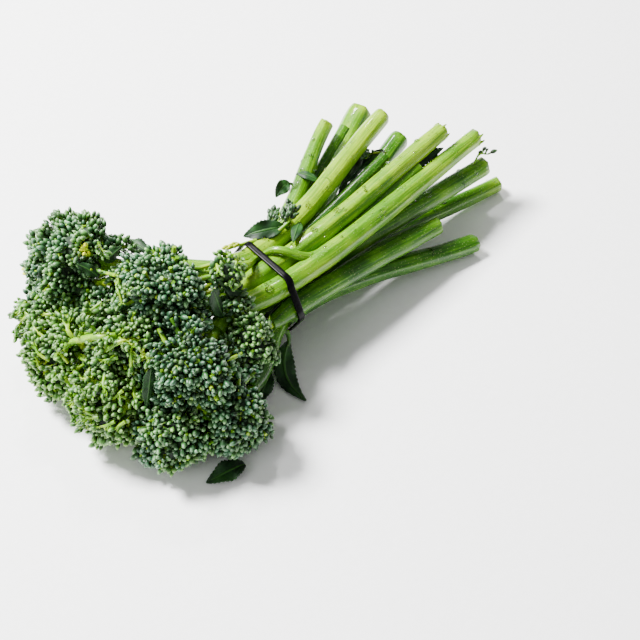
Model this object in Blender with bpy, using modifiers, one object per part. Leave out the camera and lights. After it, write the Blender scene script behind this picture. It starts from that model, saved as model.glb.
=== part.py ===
"""A tied bunch of broccolini lying on a table: eleven stalks with their heads, a side shoot, leaves and a rubber band.

The heads lie at -X and the cut ends at +X. Z is up, and the table is at z = 0. Blender units are metres.
The layout below is written in millimetres from the middle of the band, and MM brings it to metres.
"""

import math
import random

import bmesh
import bpy
from mathutils import Vector

MM = 0.001

# The middle of the bunch's box, measured from the band. It becomes the origin.
BOX_CENTRE = Vector((16.7, 9.3, 0.0))

# Stems stand in a hexagonal stack where the band holds them.
STEM_PITCH = 10.4
STEM_ROW = 9.0
BUNDLE_HEIGHT = 25.0
STEM_RADIUS_AT_BAND = 4.7
STEM_SIDES_RESOLUTION = 2
STEM_RINGS = 6
STEM_GAP = 0.3

# Each stalk: cut end, radius there, slot in the stack (column, row), point before the head, head centre, head radius.
STALKS = {
    "1": ((73, 49, 41), 3.1, (1.5, 0.0), (-30, 32, 30.5), (-57, 53, 34), 22.5),
    "2": ((96, 53, 31), 5.8, (1.0, -1.0), (-46, 36, 16), (-72.5, 47.5, 16), 17.0),
    "3": ((90, 32, 46), 4.0, (1.0, 1.0), (-16, 8, 40), (-44, 7, 44), 21.0),
    "4": ((105, 36, 22), 4.6, (0.5, -2.0), (-15, 6, 7.5), (-33, 9, 10.5), 11.0),
    "5": ((68, 20, 29), 3.4, (0.5, 0.0), (-52, 18, 21), (-81, 25, 19), 19.0),
    "6": ((108, 13, 39.5), 4.1, (0.0, 1.0), (-42, 4, 29), (-66, 6, 34), 17.0),
    "7": ((124, 7, 31.5), 3.9, (-1.0, 1.0), (-29, -9, 33), (-54, -22, 35), 20.5),
    "8": ((125, 1, 18), 4.4, (-0.5, 0.0), (-50, -5, 19), (-78, -4, 17.5), 20.0),
    "9": ((134, -1, 3.6), 3.5, (0.0, -1.0), (-44, -18, 11), (-69, -29, 14.5), 17.0),
    "10": ((98, -22, 4.1), 4.1, (-1.0, -1.0), (-24, -25, 11), (-48, -38, 15.5), 17.5),
    "11": ((84, -13, 17), 3.8, (-1.5, 0.0), (-8, -16, 24), (-25, -20, 27), 13.5),
}
STEM_RADIUS_AT_HEAD = 0.19  # of the head's radius
NECK_START = 0.98  # of the head's radius, from the centre back to the stem's top

# The side shoot forks from stem 7 and passes under the band in a hollow of the stack.
FORK_STALK = "7"
FORK_ROUTE = [
    (24, -7.2, 34.8), (17, -7, 36.2), (12, -5, 39), (8, -1.2, 41.4),
    (5.2, 2.6, 40.7), (2.2, 5.1, 38), (-2.2, 5.3, 38), (-8, 1.5, 42),
]
FORK_RADII = [2.4, 2.2, 1.9, 1.7, 1.5, 1.25, 1.25, 1.6, 1.9, 2.0]
SHOOT_CENTRE = (-20, -1, 48)
SHOOT_RADIUS = 7.5

# Heads are domes of florets round a smaller core.
DOME_ANGLE = math.radians(122)
LOBE_REACH = 0.62  # of the head's radius, from the centre to the middle of a lobe
LOBE_RADIUS = 0.48
LOBE_SPACING = math.radians(54)
FLORET_PITCH = 0.72  # of the head's radius
FLORET_RADIUS = 0.36
FLORET_SINK = 2.3  # how far the core lies under the florets' tops
HEAD_GAP = 0.35
TABLE_CUT = 2.6  # florets on the table are cut flat this far up
HIDDEN_SHARE = 0.74  # below this share of its radius a head is pressed on a neighbour, and has no florets
GOLDEN_ANGLE = math.pi * (3 - math.sqrt(5))

BAND_WIDTH = 3.6
BAND_THICKNESS = 1.3
BAND_GAP = 0.7
BAND_ARC_STEP = math.radians(15)

LEAF_THICKNESS = 0.8
LEAF_STATIONS = 8
LEAF_TOOTH = 0.12
# Each leaf: base, middle, tip, full width, direction across the blade, how far the edges wave.
LEAVES = {
    "leaf_1": ((-4, -18, 9), (-16, -23, 1.5), (-14, -41, 0.8), 9, (1.0, -0.3, 0.0), 0.8),
    "leaf_2": ((-19, -24, 6.5), (-24, -27, 5.5), (-31, -31, 0.8), 7, (0.4, -0.9, 0.0), 0.6),
    "leaf_3": ((-53, -51, 2.6), (-61, -50, 4), (-69, -47.5, 0.7), 9, (0.2, 1.0, 0.1), 0.8),
    "leaf_4": ((17.5, 10.8, 40), (8, 13.8, 41), (2.8, 19, 37), 6, (0.1, 0.8, -0.5), 0.5),
    "leaf_5": ((24.5, 9.0, 39.2), (19, 4.6, 42.4), (14, 0.6, 40.8), 4.5, (0.7, -0.7, 0.0), 0.3),
    "leaf_6": ((44.3, 34.6, 37.3), (46.5, 29.2, 39.2), (49, 25.8, 35.6), 4, (0.9, 0.3, 0.2), 0.4),
    "leaf_7": ((38.5, 33, 36), (34, 33, 37.6), (30, 31.6, 34), 6, (-0.3, 0.5, 0.4), 0.6),
    "leaf_8": ((84, 24, 35), (72, 22, 37), (58, 18, 35.5), 8, (-0.1, 1.0, -0.3), 0.9),
    "leaf_9": ((-31, 37, 35), (-33, 44, 39), (-34, 52, 34), 8, (1.0, 0.1, 0.1), 0.9),
}

COLOURS = {
    "stem": ((0.26, 0.47, 0.06), 0.38),
    "head": ((0.055, 0.15, 0.05), 0.6),
    "leaf": ((0.03, 0.11, 0.03), 0.5),
    "band": ((0.012, 0.012, 0.014), 0.45),
}


def clear_scene():
    for obj in list(bpy.data.objects):
        bpy.data.objects.remove(obj, do_unlink=True)


def new_collection(name):
    collection = bpy.data.collections.new(name)
    bpy.context.scene.collection.children.link(collection)
    return collection


def new_material(name):
    colour, roughness = COLOURS[name]
    material = bpy.data.materials.new(name)
    material.use_nodes = True
    shader = material.node_tree.nodes["Principled BSDF"]
    shader.inputs["Base Color"].default_value = (*colour, 1)
    shader.inputs["Roughness"].default_value = roughness
    return material


def metres(point):
    """A layout point, in millimetres from the band, as a place in the scene."""
    return (Vector(point) - BOX_CENTRE) * MM


def add_object(name, data, collection):
    obj = bpy.data.objects.new(name, data)
    collection.objects.link(obj)
    return obj


def add_mesh(name, bm, collection):
    mesh = bpy.data.meshes.new(name)
    bm.to_mesh(mesh)
    bm.free()
    return add_object(name, mesh, collection)


def slot_point(slot):
    column, row = slot
    return Vector((0, column * STEM_PITCH, BUNDLE_HEIGHT + row * STEM_ROW))


def hermite(start, end, leave, arrive, share):
    """A point on the cubic between two points with these directions at its ends."""
    length = (end - start).length
    s2, s3 = share**2, share**3
    return (
        start * (2 * s3 - 3 * s2 + 1)
        + leave * length * (s3 - 2 * s2 + share)
        + end * (3 * s2 - 2 * s3)
        + arrive * length * (s3 - s2)
    )


class Head:
    """A head's place, size and the planes halfway to its neighbours."""

    def __init__(self, name, centre, radius, axis):
        self.name = name
        self.centre = Vector(centre)
        self.radius = radius
        self.axis = axis.normalized()
        self.planes = []
        lobes = round(2 * (1 - math.cos(DOME_ANGLE)) / LOBE_SPACING**2 * 3.3)
        self.lobes = self.dome_directions(lobes)

    @property
    def base(self):
        """Where the stem's top meets the head's neck."""
        return self.centre - self.axis * self.radius * NECK_START

    def dome_directions(self, count):
        """Directions spread evenly over the dome, from its crown down to its rim."""
        across = self.axis.orthogonal().normalized()
        up = self.axis.cross(across)
        directions = []
        for i in range(count):
            height = 1 - (i + 0.5) / count * (1 - math.cos(DOME_ANGLE))
            ring = math.sqrt(1 - height**2)
            turn = i * GOLDEN_ANGLE
            side = across * math.cos(turn) + up * math.sin(turn)
            directions.append(self.axis * height + side * ring)
        return directions

    def press(self, other):
        """Adds the flat side that this head and another press on each other."""
        apart = other.centre - self.centre
        distance = apart.length
        if distance > self.radius + other.radius:
            return
        offset = (distance**2 + self.radius**2 - other.radius**2) / (2 * distance)
        self.planes.append((apart / distance, offset - HEAD_GAP / 2))

    def lobed(self, direction):
        """The distance from the centre to the dome's lobed surface."""
        reach = 0.0
        for lobe in self.lobes:
            cosine = max(-1.0, min(1.0, direction.dot(lobe)))
            aside = LOBE_RADIUS**2 - LOBE_REACH**2 * (1 - cosine**2)
            if aside > 0 and cosine > 0:
                reach = max(reach, LOBE_REACH * cosine + math.sqrt(aside))
        return max(reach, 0.88) * self.radius

    def limit(self, direction, margin):
        """How far something this thick may lie along a direction before it meets a neighbour or the table."""
        limit = self.radius * 2
        for normal, offset in self.planes:
            cosine = direction.dot(normal)
            if cosine > 1e-3:
                limit = min(limit, (offset - margin) / cosine)
        if direction.z < -1e-3:
            limit = min(limit, (self.centre.z + TABLE_CUT - margin) / -direction.z)
        return limit

    def is_pressed(self, direction):
        """Whether a neighbour, and not the table, holds this side in."""
        return any(
            direction.dot(normal) > 0 and offset / direction.dot(normal) < HIDDEN_SHARE * self.radius
            for normal, offset in self.planes
        )


def stalk_parts():
    """The heads and the stems' centre lines, worked out from the layout."""
    heads = {}
    routes = {}
    for name, (cut, cut_radius, slot, before, centre, radius) in STALKS.items():
        cut, before, slot = Vector(cut), Vector(before), slot_point(slot)
        head = Head(f"head_{name}", centre, radius, Vector(centre) - before)
        along = ((slot - cut).normalized() + (before - slot).normalized() + Vector((-2, 0, 0))).normalized()
        outward = (slot - cut).normalized()
        to_before = (before - slot).normalized()
        turn = (to_before + head.axis).normalized()
        route = [hermite(cut, slot, outward, along, i / STEM_RINGS) for i in range(STEM_RINGS)]
        inner = STEM_RINGS // 2
        route += [hermite(slot, before, along, turn, i / inner) for i in range(inner)]
        route += [hermite(before, head.base, turn, head.axis, i / inner) for i in range(inner)]
        route.append(head.base - head.axis * STEM_GAP)
        heads[name] = head
        routes[name] = route
    shoot_axis = Vector(SHOOT_CENTRE) - Vector(FORK_ROUTE[-2])
    shoot = Head("side_shoot", SHOOT_CENTRE, SHOOT_RADIUS, shoot_axis)
    heads["shoot"] = shoot
    last = [shoot.base - shoot.axis * 3, shoot.base - shoot.axis * STEM_GAP]
    routes["shoot"] = [Vector(place) for place in FORK_ROUTE] + last
    for head in heads.values():
        for other in heads.values():
            if other is not head:
                head.press(other)
    return heads, routes


def stem_radii(name, route):
    """The stem's radius at each point: from the cut to the band, then slimmer up to the head."""
    cut_radius, head_radius = STALKS[name][1], STALKS[name][5]
    top_radius = max(2.4, STEM_RADIUS_AT_HEAD * head_radius)
    radii = []
    for point in route:
        if point.x > 0:
            share = min(1.0, point.x / STALKS[name][0][0])
            radii.append(STEM_RADIUS_AT_BAND + (cut_radius - STEM_RADIUS_AT_BAND) * share)
        else:
            share = point.x / route[-1].x
            radii.append(STEM_RADIUS_AT_BAND + (top_radius - STEM_RADIUS_AT_BAND) * share)
    return radii


def tube(name, route, radii, collection):
    """A closed mesh tube along a route, in metres, made from a bevelled curve."""
    curve = bpy.data.curves.new(name, "CURVE")
    curve.dimensions = "3D"
    curve.bevel_depth = MM
    curve.bevel_resolution = STEM_SIDES_RESOLUTION
    curve.use_fill_caps = True
    spline = curve.splines.new("POLY")
    spline.points.add(len(route) - 1)
    for point, place, radius in zip(spline.points, route, radii):
        point.co = (*metres(place), 1)
        point.radius = radius
    line = add_object(name, curve, collection)
    bpy.context.view_layer.update()
    graph = bpy.context.evaluated_depsgraph_get()
    mesh = bpy.data.meshes.new_from_object(line.evaluated_get(graph))
    bpy.data.objects.remove(line, do_unlink=True)
    bpy.data.curves.remove(curve)
    bm = bmesh.new()
    bm.from_mesh(mesh)
    bmesh.ops.remove_doubles(bm, verts=bm.verts, dist=1e-6)
    bmesh.ops.recalc_face_normals(bm, faces=bm.faces)
    bpy.data.meshes.remove(mesh)
    return add_mesh(name, bm, collection)


def combine(body, others, operation):
    """One applied Boolean of a body with all the objects of a collection, which are then removed."""
    modifier = body.modifiers.new(operation.lower(), "BOOLEAN")
    modifier.operation = operation
    modifier.operand_type = "COLLECTION"
    modifier.collection = others
    bpy.context.view_layer.update()
    graph = bpy.context.evaluated_depsgraph_get()
    mesh = bpy.data.meshes.new_from_object(body.evaluated_get(graph))
    body.modifiers.clear()
    body.data = mesh
    for obj in list(others.objects):
        bpy.data.objects.remove(obj, do_unlink=True)
    bpy.data.collections.remove(others)


def keep_largest_piece(bm):
    """Drops the loose scraps that a cut can leave."""
    unseen = set(bm.verts)
    pieces = []
    while unseen:
        front = [unseen.pop()]
        piece = list(front)
        while front:
            vert = front.pop()
            for edge in vert.link_edges:
                other = edge.other_vert(vert)
                if other in unseen:
                    unseen.remove(other)
                    front.append(other)
                    piece.append(other)
        pieces.append(piece)
    pieces.sort(key=len)
    for piece in pieces[:-1]:
        bmesh.ops.delete(bm, geom=piece, context="VERTS")


def finish_head(body):
    """Cuts the head flat where it stands on the table, and cleans what the Booleans left."""
    bm = bmesh.new()
    bm.from_mesh(body.data)
    everything = [*bm.verts, *bm.edges, *bm.faces]
    bmesh.ops.bisect_plane(bm, geom=everything, plane_co=(0, 0, 0), plane_no=(0, 0, -1), clear_outer=True)
    rim = [edge for edge in bm.edges if edge.is_boundary]
    if rim:
        bmesh.ops.holes_fill(bm, edges=rim, sides=0)
    keep_largest_piece(bm)
    bmesh.ops.triangulate(bm, faces=bm.faces)
    bm.to_mesh(body.data)
    bm.free()


def floret(head, direction, rng, collection):
    """One small ball of florets on the dome, pulled in where a neighbour or the table is close."""
    radius = head.radius * FLORET_RADIUS * rng.uniform(0.88, 1.08)
    reach = min(head.lobed(direction), head.limit(direction, radius) + radius) - radius
    bm = bmesh.new()
    bmesh.ops.create_icosphere(bm, subdivisions=1, radius=radius * MM)
    turn = Vector((rng.random(), rng.random(), rng.random())).normalized()
    bmesh.ops.rotate(bm, verts=bm.verts, matrix=turn.to_track_quat("Z", "Y").to_matrix())
    bmesh.ops.translate(bm, verts=bm.verts, vec=metres(head.centre + direction * reach))
    add_mesh("floret", bm, collection)


def head_core(head, collection):
    """The solid middle of a head, which its florets stand out of."""
    bm = bmesh.new()
    bmesh.ops.create_icosphere(bm, subdivisions=2, radius=1)
    for vert in bm.verts:
        direction = vert.co.normalized()
        reach = head.lobed(direction) - FLORET_SINK
        if direction.dot(head.axis) < math.cos(DOME_ANGLE):
            reach = head.radius * 0.68
        vert.co = metres(head.centre + direction * min(reach, head.limit(direction, 0.3)))
    return add_mesh(head.name, bm, collection)


def neck_line(head, top_radius):
    """The route and radii of the flare between the stem's top and the core."""
    inside = head.centre - head.axis * head.radius * 0.35
    middle = head.base.lerp(inside, 0.45)
    return [head.base, middle, inside], [top_radius, top_radius * 1.25, head.radius * 0.42]


def make_head(head, top_radius, sleeves, collection):
    """A head: its core, neck and florets joined, with plain grooves where other stalks pass."""
    rng = random.Random(head.name)
    body = head_core(head, collection)
    pieces = new_collection("pieces")
    tube("neck", *neck_line(head, top_radius), pieces)
    count = round(2 * math.pi * (1 - math.cos(DOME_ANGLE)) / (FLORET_PITCH**2 * 0.87))
    for direction in head.dome_directions(count):
        if not head.is_pressed(direction):
            floret(head, direction, rng, pieces)
    combine(body, pieces, "UNION")
    grooves = new_collection("grooves")
    for route, radii in sleeves:
        if min((point - head.centre).length - radius for point, radius in zip(route, radii)) < head.radius:
            tube("groove", route, radii, grooves)
    if grooves.objects:
        combine(body, grooves, "DIFFERENCE")
    else:
        bpy.data.collections.remove(grooves)
    finish_head(body)
    return body


def refined(route, radii, parts):
    """The same route and radii with more points, so that a sleeve can be measured along it."""
    fine_route, fine_radii = [], []
    for i in range(len(route) - 1):
        for step in range(parts):
            share = step / parts
            fine_route.append(route[i].lerp(route[i + 1], share))
            fine_radii.append(radii[i] + (radii[i + 1] - radii[i]) * share)
    return [*fine_route, route[-1]], [*fine_radii, radii[-1]]


def sleeve(head, route, radii):
    """The room that a stem and its neck need among the other heads."""
    neck_route, neck_radii = neck_line(head, radii[-1])
    wider = [radius + HEAD_GAP for radius in [*radii, *neck_radii]]
    return refined([*route, *neck_route], wider, 3)


def band_outline(offset):
    """The stack's outline with rounded corners, this far outside the middles of its outer stems."""
    slots = [slot_point(stalk[2]) for stalk in STALKS.values()]
    points = [Vector((p.y, p.z)) for p in slots]
    corner = min(points, key=lambda p: (p.y, p.x))
    hull = [corner]
    heading = Vector((1, 0))
    while True:
        here = hull[-1]
        others = [p for p in points if (p - here).length > 1e-6]
        nearest = min(others, key=lambda p: (round(heading.angle(p - here), 6), -(p - here).length))
        heading = nearest - here
        if (nearest - corner).length < 1e-6:
            break
        hull.append(nearest)
    outline = []
    for i, point in enumerate(hull):
        before = point - hull[i - 1]
        after = hull[(i + 1) % len(hull)] - point
        start = math.atan2(before.y, before.x) - math.pi / 2
        turn = (math.atan2(after.y, after.x) - math.atan2(before.y, before.x)) % (2 * math.pi)
        steps = max(1, round(turn / BAND_ARC_STEP))
        for step in range(steps + 1):
            angle = start + turn * step / steps
            outline.append(point + Vector((math.cos(angle), math.sin(angle))) * offset)
    return outline


def make_band(collection):
    """The flat rubber band: the space between two outlines, as wide as the band."""
    curve = bpy.data.curves.new("band", "CURVE")
    curve.dimensions = "2D"
    curve.fill_mode = "BOTH"
    curve.extrude = BAND_WIDTH / 2 * MM
    inside = STEM_RADIUS_AT_BAND + BAND_GAP
    for offset in (inside, inside + BAND_THICKNESS):
        outline = band_outline(offset)
        spline = curve.splines.new("POLY")
        spline.use_cyclic_u = True
        spline.points.add(len(outline) - 1)
        for point, place in zip(spline.points, outline):
            point.co = (place.x * MM, place.y * MM, 0, 1)
    band = add_object("band", curve, collection)
    band.rotation_euler = (math.pi / 2, 0, math.pi / 2)
    band.location = metres((0, 0, 0))
    return band


def make_leaf(name, collection):
    """A thin arched blade with a toothed and waved edge, on a smooth line from base to tip."""
    base, middle, tip, width, across, wave = LEAVES[name]
    base, middle, tip = Vector(base), Vector(middle), Vector(tip)
    across = Vector(across).normalized()
    bm = bmesh.new()
    rows = []
    for i in range(LEAF_STATIONS):
        share = i / (LEAF_STATIONS - 1)
        place = base.lerp(middle, share).lerp(middle.lerp(tip, share), share)
        along = (middle - base).lerp(tip - middle, share).normalized()
        normal = across.cross(along).normalized()
        side = along.cross(normal)
        half = width / 2 * (0.16 + 0.84 * math.sin(math.pi * share**0.85))
        half *= 1 + LEAF_TOOTH * (-1) ** i
        if i == LEAF_STATIONS - 1:
            half = width * 0.06
        rise = 0.12 * half
        waves = (wave * math.sin(i * 1.9), wave * math.sin(i * 1.9 + 2))
        left = bm.verts.new(metres(place - side * half + normal * (rise + waves[0] * half * 2 / width)))
        rib = bm.verts.new(metres(place))
        right = bm.verts.new(metres(place + side * half + normal * (rise + waves[1] * half * 2 / width)))
        rows.append((left, rib, right))
    for before, after in zip(rows, rows[1:]):
        for side in (0, 1):
            bm.faces.new((before[side], before[side + 1], after[side + 1], after[side]))
    bmesh.ops.triangulate(bm, faces=bm.faces)
    leaf = add_mesh(name, bm, collection)
    shell = leaf.modifiers.new("thickness", "SOLIDIFY")
    shell.thickness = LEAF_THICKNESS * MM
    shell.offset = 0
    return leaf


def make_bunch():
    bunch = new_collection("broccolini_bunch")
    materials = {name: new_material(name) for name in COLOURS}
    heads, routes = stalk_parts()
    radii = {name: stem_radii(name, routes[name]) for name in STALKS}
    radii["shoot"] = FORK_RADII
    sleeves = {name: sleeve(head, routes[name], radii[name]) for name, head in heads.items()}
    made = []
    for name in STALKS:
        stem = tube(f"stem_{name}", routes[name], radii[name], bunch)
        if name == FORK_STALK:
            forks = new_collection("forks")
            tube("fork", routes["shoot"], radii["shoot"], forks)
            combine(stem, forks, "UNION")
        made.append((stem, "stem"))
    for name, head in heads.items():
        others = [sleeves[other] for other in heads if other != name]
        made.append((make_head(head, radii[name][-1], others, bunch), "head"))
    made.append((make_band(bunch), "band"))
    for name in LEAVES:
        made.append((make_leaf(name, bunch), "leaf"))
    for obj, material in made:
        obj.data.materials.clear()
        obj.data.materials.append(materials[material])


clear_scene()
make_bunch()
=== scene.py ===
"""A tied bunch of broccolini on a pale table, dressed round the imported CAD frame.

The bunch's plan is written in millimetres from the middle of the band, as in the part's source. MM brings it
to metres. The heads lie at -X and the cut ends at +X.
"""

import math

import bmesh
import bpy
import numpy as np
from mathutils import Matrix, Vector
from mathutils.kdtree import KDTree


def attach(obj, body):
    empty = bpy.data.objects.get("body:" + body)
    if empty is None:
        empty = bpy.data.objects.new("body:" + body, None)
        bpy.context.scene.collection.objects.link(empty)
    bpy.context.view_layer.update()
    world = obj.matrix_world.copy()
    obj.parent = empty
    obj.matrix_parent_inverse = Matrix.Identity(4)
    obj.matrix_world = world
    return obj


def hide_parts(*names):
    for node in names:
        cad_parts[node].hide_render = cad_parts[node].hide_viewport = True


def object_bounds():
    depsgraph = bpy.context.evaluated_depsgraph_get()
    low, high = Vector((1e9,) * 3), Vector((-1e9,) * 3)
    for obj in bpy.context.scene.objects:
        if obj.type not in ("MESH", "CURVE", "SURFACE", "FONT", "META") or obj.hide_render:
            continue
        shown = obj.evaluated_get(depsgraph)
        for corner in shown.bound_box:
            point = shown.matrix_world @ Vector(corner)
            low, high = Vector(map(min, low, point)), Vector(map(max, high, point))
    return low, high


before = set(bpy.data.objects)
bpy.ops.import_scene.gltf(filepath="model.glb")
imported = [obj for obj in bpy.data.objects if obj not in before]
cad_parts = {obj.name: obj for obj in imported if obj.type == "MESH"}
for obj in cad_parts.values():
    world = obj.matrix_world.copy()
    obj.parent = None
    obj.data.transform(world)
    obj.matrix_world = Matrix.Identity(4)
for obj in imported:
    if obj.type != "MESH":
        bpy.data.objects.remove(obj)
cad_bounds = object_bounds()

MM = 0.001
BOX_CENTRE = Vector((16.7, 9.3, 0.0))
BOX_LOW, BOX_HIGH = (np.array(corner) / MM + np.array(BOX_CENTRE) for corner in cad_bounds)

STEM_PITCH = 10.4
STEM_ROW = 9.0
BUNDLE_HEIGHT = 25.0
STEM_RADIUS_AT_BAND = 4.7
STEM_RADIUS_AT_HEAD = 0.19
NECK_START = 0.98

# Each stalk: its cut end, its radius there, its column and row in the stack under the band, a point before
# the head, the head's centre and the head's radius.
STALKS = {
    "1": ((73, 49, 41), 3.1, (1.5, 0.0), (-30, 32, 30.5), (-57, 53, 34), 22.5),
    "2": ((96, 53, 31), 5.8, (1.0, -1.0), (-46, 36, 16), (-72.5, 47.5, 16), 17.0),
    "3": ((90, 32, 46), 4.0, (1.0, 1.0), (-16, 8, 40), (-44, 7, 44), 21.0),
    "4": ((105, 36, 22), 4.6, (0.5, -2.0), (-15, 6, 7.5), (-33, 9, 10.5), 11.0),
    "5": ((68, 20, 29), 3.4, (0.5, 0.0), (-52, 18, 21), (-81, 25, 19), 19.0),
    "6": ((108, 13, 39.5), 4.1, (0.0, 1.0), (-42, 4, 29), (-66, 6, 34), 17.0),
    "7": ((124, 7, 31.5), 3.9, (-1.0, 1.0), (-29, -9, 33), (-54, -22, 35), 20.5),
    "8": ((125, 1, 18), 4.4, (-0.5, 0.0), (-50, -5, 19), (-78, -4, 17.5), 20.0),
    "9": ((134, -1, 3.6), 3.5, (0.0, -1.0), (-44, -18, 11), (-69, -29, 14.5), 17.0),
    "10": ((98, -22, 4.1), 4.1, (-1.0, -1.0), (-24, -25, 11), (-48, -38, 15.5), 17.5),
    "11": ((84, -13, 17), 3.8, (-1.5, 0.0), (-8, -16, 24), (-25, -20, 27), 13.5),
}
FORK_ROUTE = [
    (24, -7.2, 34.8), (17, -7, 36.2), (12, -5, 39), (8, -1.2, 41.4),
    (5.2, 2.6, 40.7), (2.2, 5.1, 38), (-2.2, 5.3, 38), (-8, 1.5, 42),
]
FORK_RADII = [2.4, 2.2, 1.9, 1.7, 1.5, 1.25, 1.25, 1.6, 1.9, 2.0]
FORK_TOP_RADIUS = 2.0
SLIMMEST_NECK = 2.4
SHOOT_CENTRE = (-20, -1, 48)
SHOOT_RADIUS = 7.5

# A head is a dome of lobes. Their reach, radius and the deepest groove between them are shares of its radius.
DOME_ANGLE = math.radians(122)
LOBE_REACH = 0.62
LOBE_RADIUS = 0.48
LOBE_SPACING = math.radians(54)
LOBE_CROWDING = 3.3
GROOVE_REACH = 0.88
HEAD_GAP = 0.35
GOLDEN_ANGLE = math.pi * (3 - math.sqrt(5))
HEX_PACKING = 0.87

# Florets are the small clumps of buds that make up a head. Each has buds from its crown down to this angle.
FLORET_PITCH = 6.5
FLORET_RADIUS = 3.35
FLORET_ANGLE = math.radians(104)
INNER_FLORET_RADIUS = 3.2
BUD_PITCH = 2.1
BUD_LENGTH = 3.3
BUD_RADIUS = 1.06

# The least distance between the middles of two buds, and from there to a stem, a bare branch or a thin spray.
BUD_APART = 1.62
BUD_GAP_TO_STEM = 0.9
BUD_GAP_TO_BRANCH = 1.3
BUD_GAP_TO_SPRAY = 0.75

# Buds keep this far inside the box of the CAD parts, and the dark middle this far below a head's surface.
BOX_MARGIN = 1.4 * BUD_RADIUS
CORE_DEPTH = 6.5

# The tint and the shade of buds that have begun to open yellow.
RIPE = 2.0
RIPE_SHADE = 1.5

# From this yellowness up, a head is loose, with bare stalks across its florets.
LOOSE_TINT = 0.55

# Bare branches that show between the buds: points, radius at the start and at the end.
SHOWN_BRANCHES = [
    ([(-78, 16, 30), (-80.9, 21.0, 36.8), (-79.1, 26.6, 37.1), (-77.6, 33.7, 34.7)], 1.3, 0.6),
    ([(-80.5, 22.5, 37.4), (-75.8, 28.4, 36.9)], 0.8, 0.5),
    ([(-86, 18, 31), (-83.7, 17.2, 36.0), (-79.0, 7.3, 44.6), (-76.0, 2.5, 46.9), (-70, 2, 43)], 1.1, 1.7),
    ([(-80.5, 12.5, 40.5), (-78.3, 14.2, 43.4), (-76.2, 13.2, 47.0)], 1.0, 0.4),
    ([(-87, 14, 30), (-88.6, 19.0, 35.4), (-87.4, 16.1, 34.8)], 0.6, 0.6),
    ([(-70, 2, 40), (-74.7, 1.0, 47.6), (-78.2, -1.4, 44.2)], 0.7, 0.8),
    ([(-78.2, -1.4, 44.2), (-74.0, -3.2, 46.9), (-70.3, -4.6, 47.4), (-66, -4, 43)], 0.9, 0.8),
    ([(-69.5, -4.0, 47.2), (-71.6, -8.4, 42.6), (-74, -11, 38)], 1.0, 0.7),
    ([(-70, -5.0, 46.8), (-69.9, -11.5, 48.5), (-69.8, -18.4, 48.0)], 0.7, 0.5),
    ([(-54, 26, 40), (-52.0, 27.7, 44.6), (-60.9, 14.0, 55.0), (-63.4, 8.0, 52.4)], 1.1, 0.6),
    ([(-60.7, 14.6, 55.2), (-61.0, 6.6, 57.2)], 0.7, 0.5),
    ([(-60.4, 35.0, 47.5), (-56.6, 33.5, 44.6), (-56.4, 22.0, 51.6)], 0.8, 0.8),
    ([(-51.6, 40.9, 52.4), (-53.6, 37.0, 49.8)], 0.6, 0.6),
]
# Small sprigs that grow from the stems: points, radius at the start and at the end, buds, how yellow.
SPRIGS = [
    ([(13, 13.0, 37.0), (18, 13.0, 39.6), (25.0, 17.5, 39.8)], 1.0, 0.6, 34, 0.35),
    ([(11, 15.0, 36.0), (15, 16.5, 38.6), (20.0, 20.5, 38.2)], 0.9, 0.5, 30, 0.35),
    ([(14, 11.0, 39.0), (20, 10.5, 41.6), (24.0, 13.0, 42.6)], 0.8, 0.4, 18, 0.35),
    ([(5, 13.5, 38.0), (-2, 14.0, 39.8), (-8, 13.0, 42.4)], 0.9, 0.4, 16, 1.7),
    ([(117, 1.0, 21.5), (123, 2.8, 24.6), (127.5, 1.5, 23.4)], 0.5, 0.3, 4, 0.5),
    ([(84, 22, 35), (78, 25, 36), (73, 23, 37.5)], 0.7, 0.4, 9, 0.1),
]
# Leaf stalks that lie in the gaps of the bundle: points, radius at the start and at the end, how light.
PETIOLES = [
    ([(6, 5.5, 29.0), (40, 10.5, 32.5), (80, 18.5, 36.5)], 2.7, 2.9, 0.1),
    ([(10, 14.0, 26.0), (45, 24.0, 31.0), (66, 30.0, 34.0)], 2.2, 2.0, 0.05),
    ([(4, -5.2, 30.8), (35, -2.5, 31.2), (88, 6.0, 35.0)], 1.4, 3.2, 0.35),
    ([(14, 17.0, 22.0), (45, 31.0, 26.5), (82, 47.5, 33.0)], 1.8, 2.8, 0.3),
]
# Small leaves on the heads: the head, base, middle and tip on its surface, full width.
BRACTS = {
    "bract_1": ("1", (-58.8, 33.9, 44), (-60.8, 36.4, 47.3), (-63.5, 39.1, 49.2), 4.5),
    "bract_2": ("1", (-53.9, 35.8, 46.6), (-49.6, 37.2, 46.7), (-44.2, 39.7, 45.2), 5.0),
    "bract_3": ("8", (-71.2, -19.5, 44.2), (-73.6, -20.3, 36.3), (-75.8, -20.1, 27.7), 5.5),
    "bract_4": ("3", (-34.5, -8.5, 52.8), (-33.8, -10.1, 46.9), (-31.7, -9.7, 37.6), 8.5),
    "bract_5": ("3", (-20.7, -7.9, 42.3), (-24.4, -5.1, 42.5), (-29.2, -4.4, 51.4), 5.5),
}
# Places where a few buds have begun to open yellow, each with how far that reaches.
RIPE_SPOTS = [((-56.9, 41.3, 52.5), 3.4), ((-77.3, 62.8, 35.1), 3.2), ((-10, 4, 47.5), 5.0)]

# Dips in the heads' outline: the middle of each, how wide it is, and how deep the florets lie there. The buds
# in a dip are also painted darker, as painted shade.
DIPS = [
    ((-57.4, -26.0, 54.0), 12.0, 9.0), ((-61.2, -15.5, 53.5), 10.0, 9.0), ((-75.7, 10.3, 46.4), 6.5, 6.0),
    ((-43.7, -34.3, 46.4), 6.0, 3.5), ((-39.6, -24.7, 48.1), 6.0, 4.0), ((-66.0, -38.0, 36.0), 6.0, 4.0),
    ((-80.0, -16.0, 33.0), 5.0, 3.0), ((-70.1, 0.2, 49.5), 5.0, 3.0),
]

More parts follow.
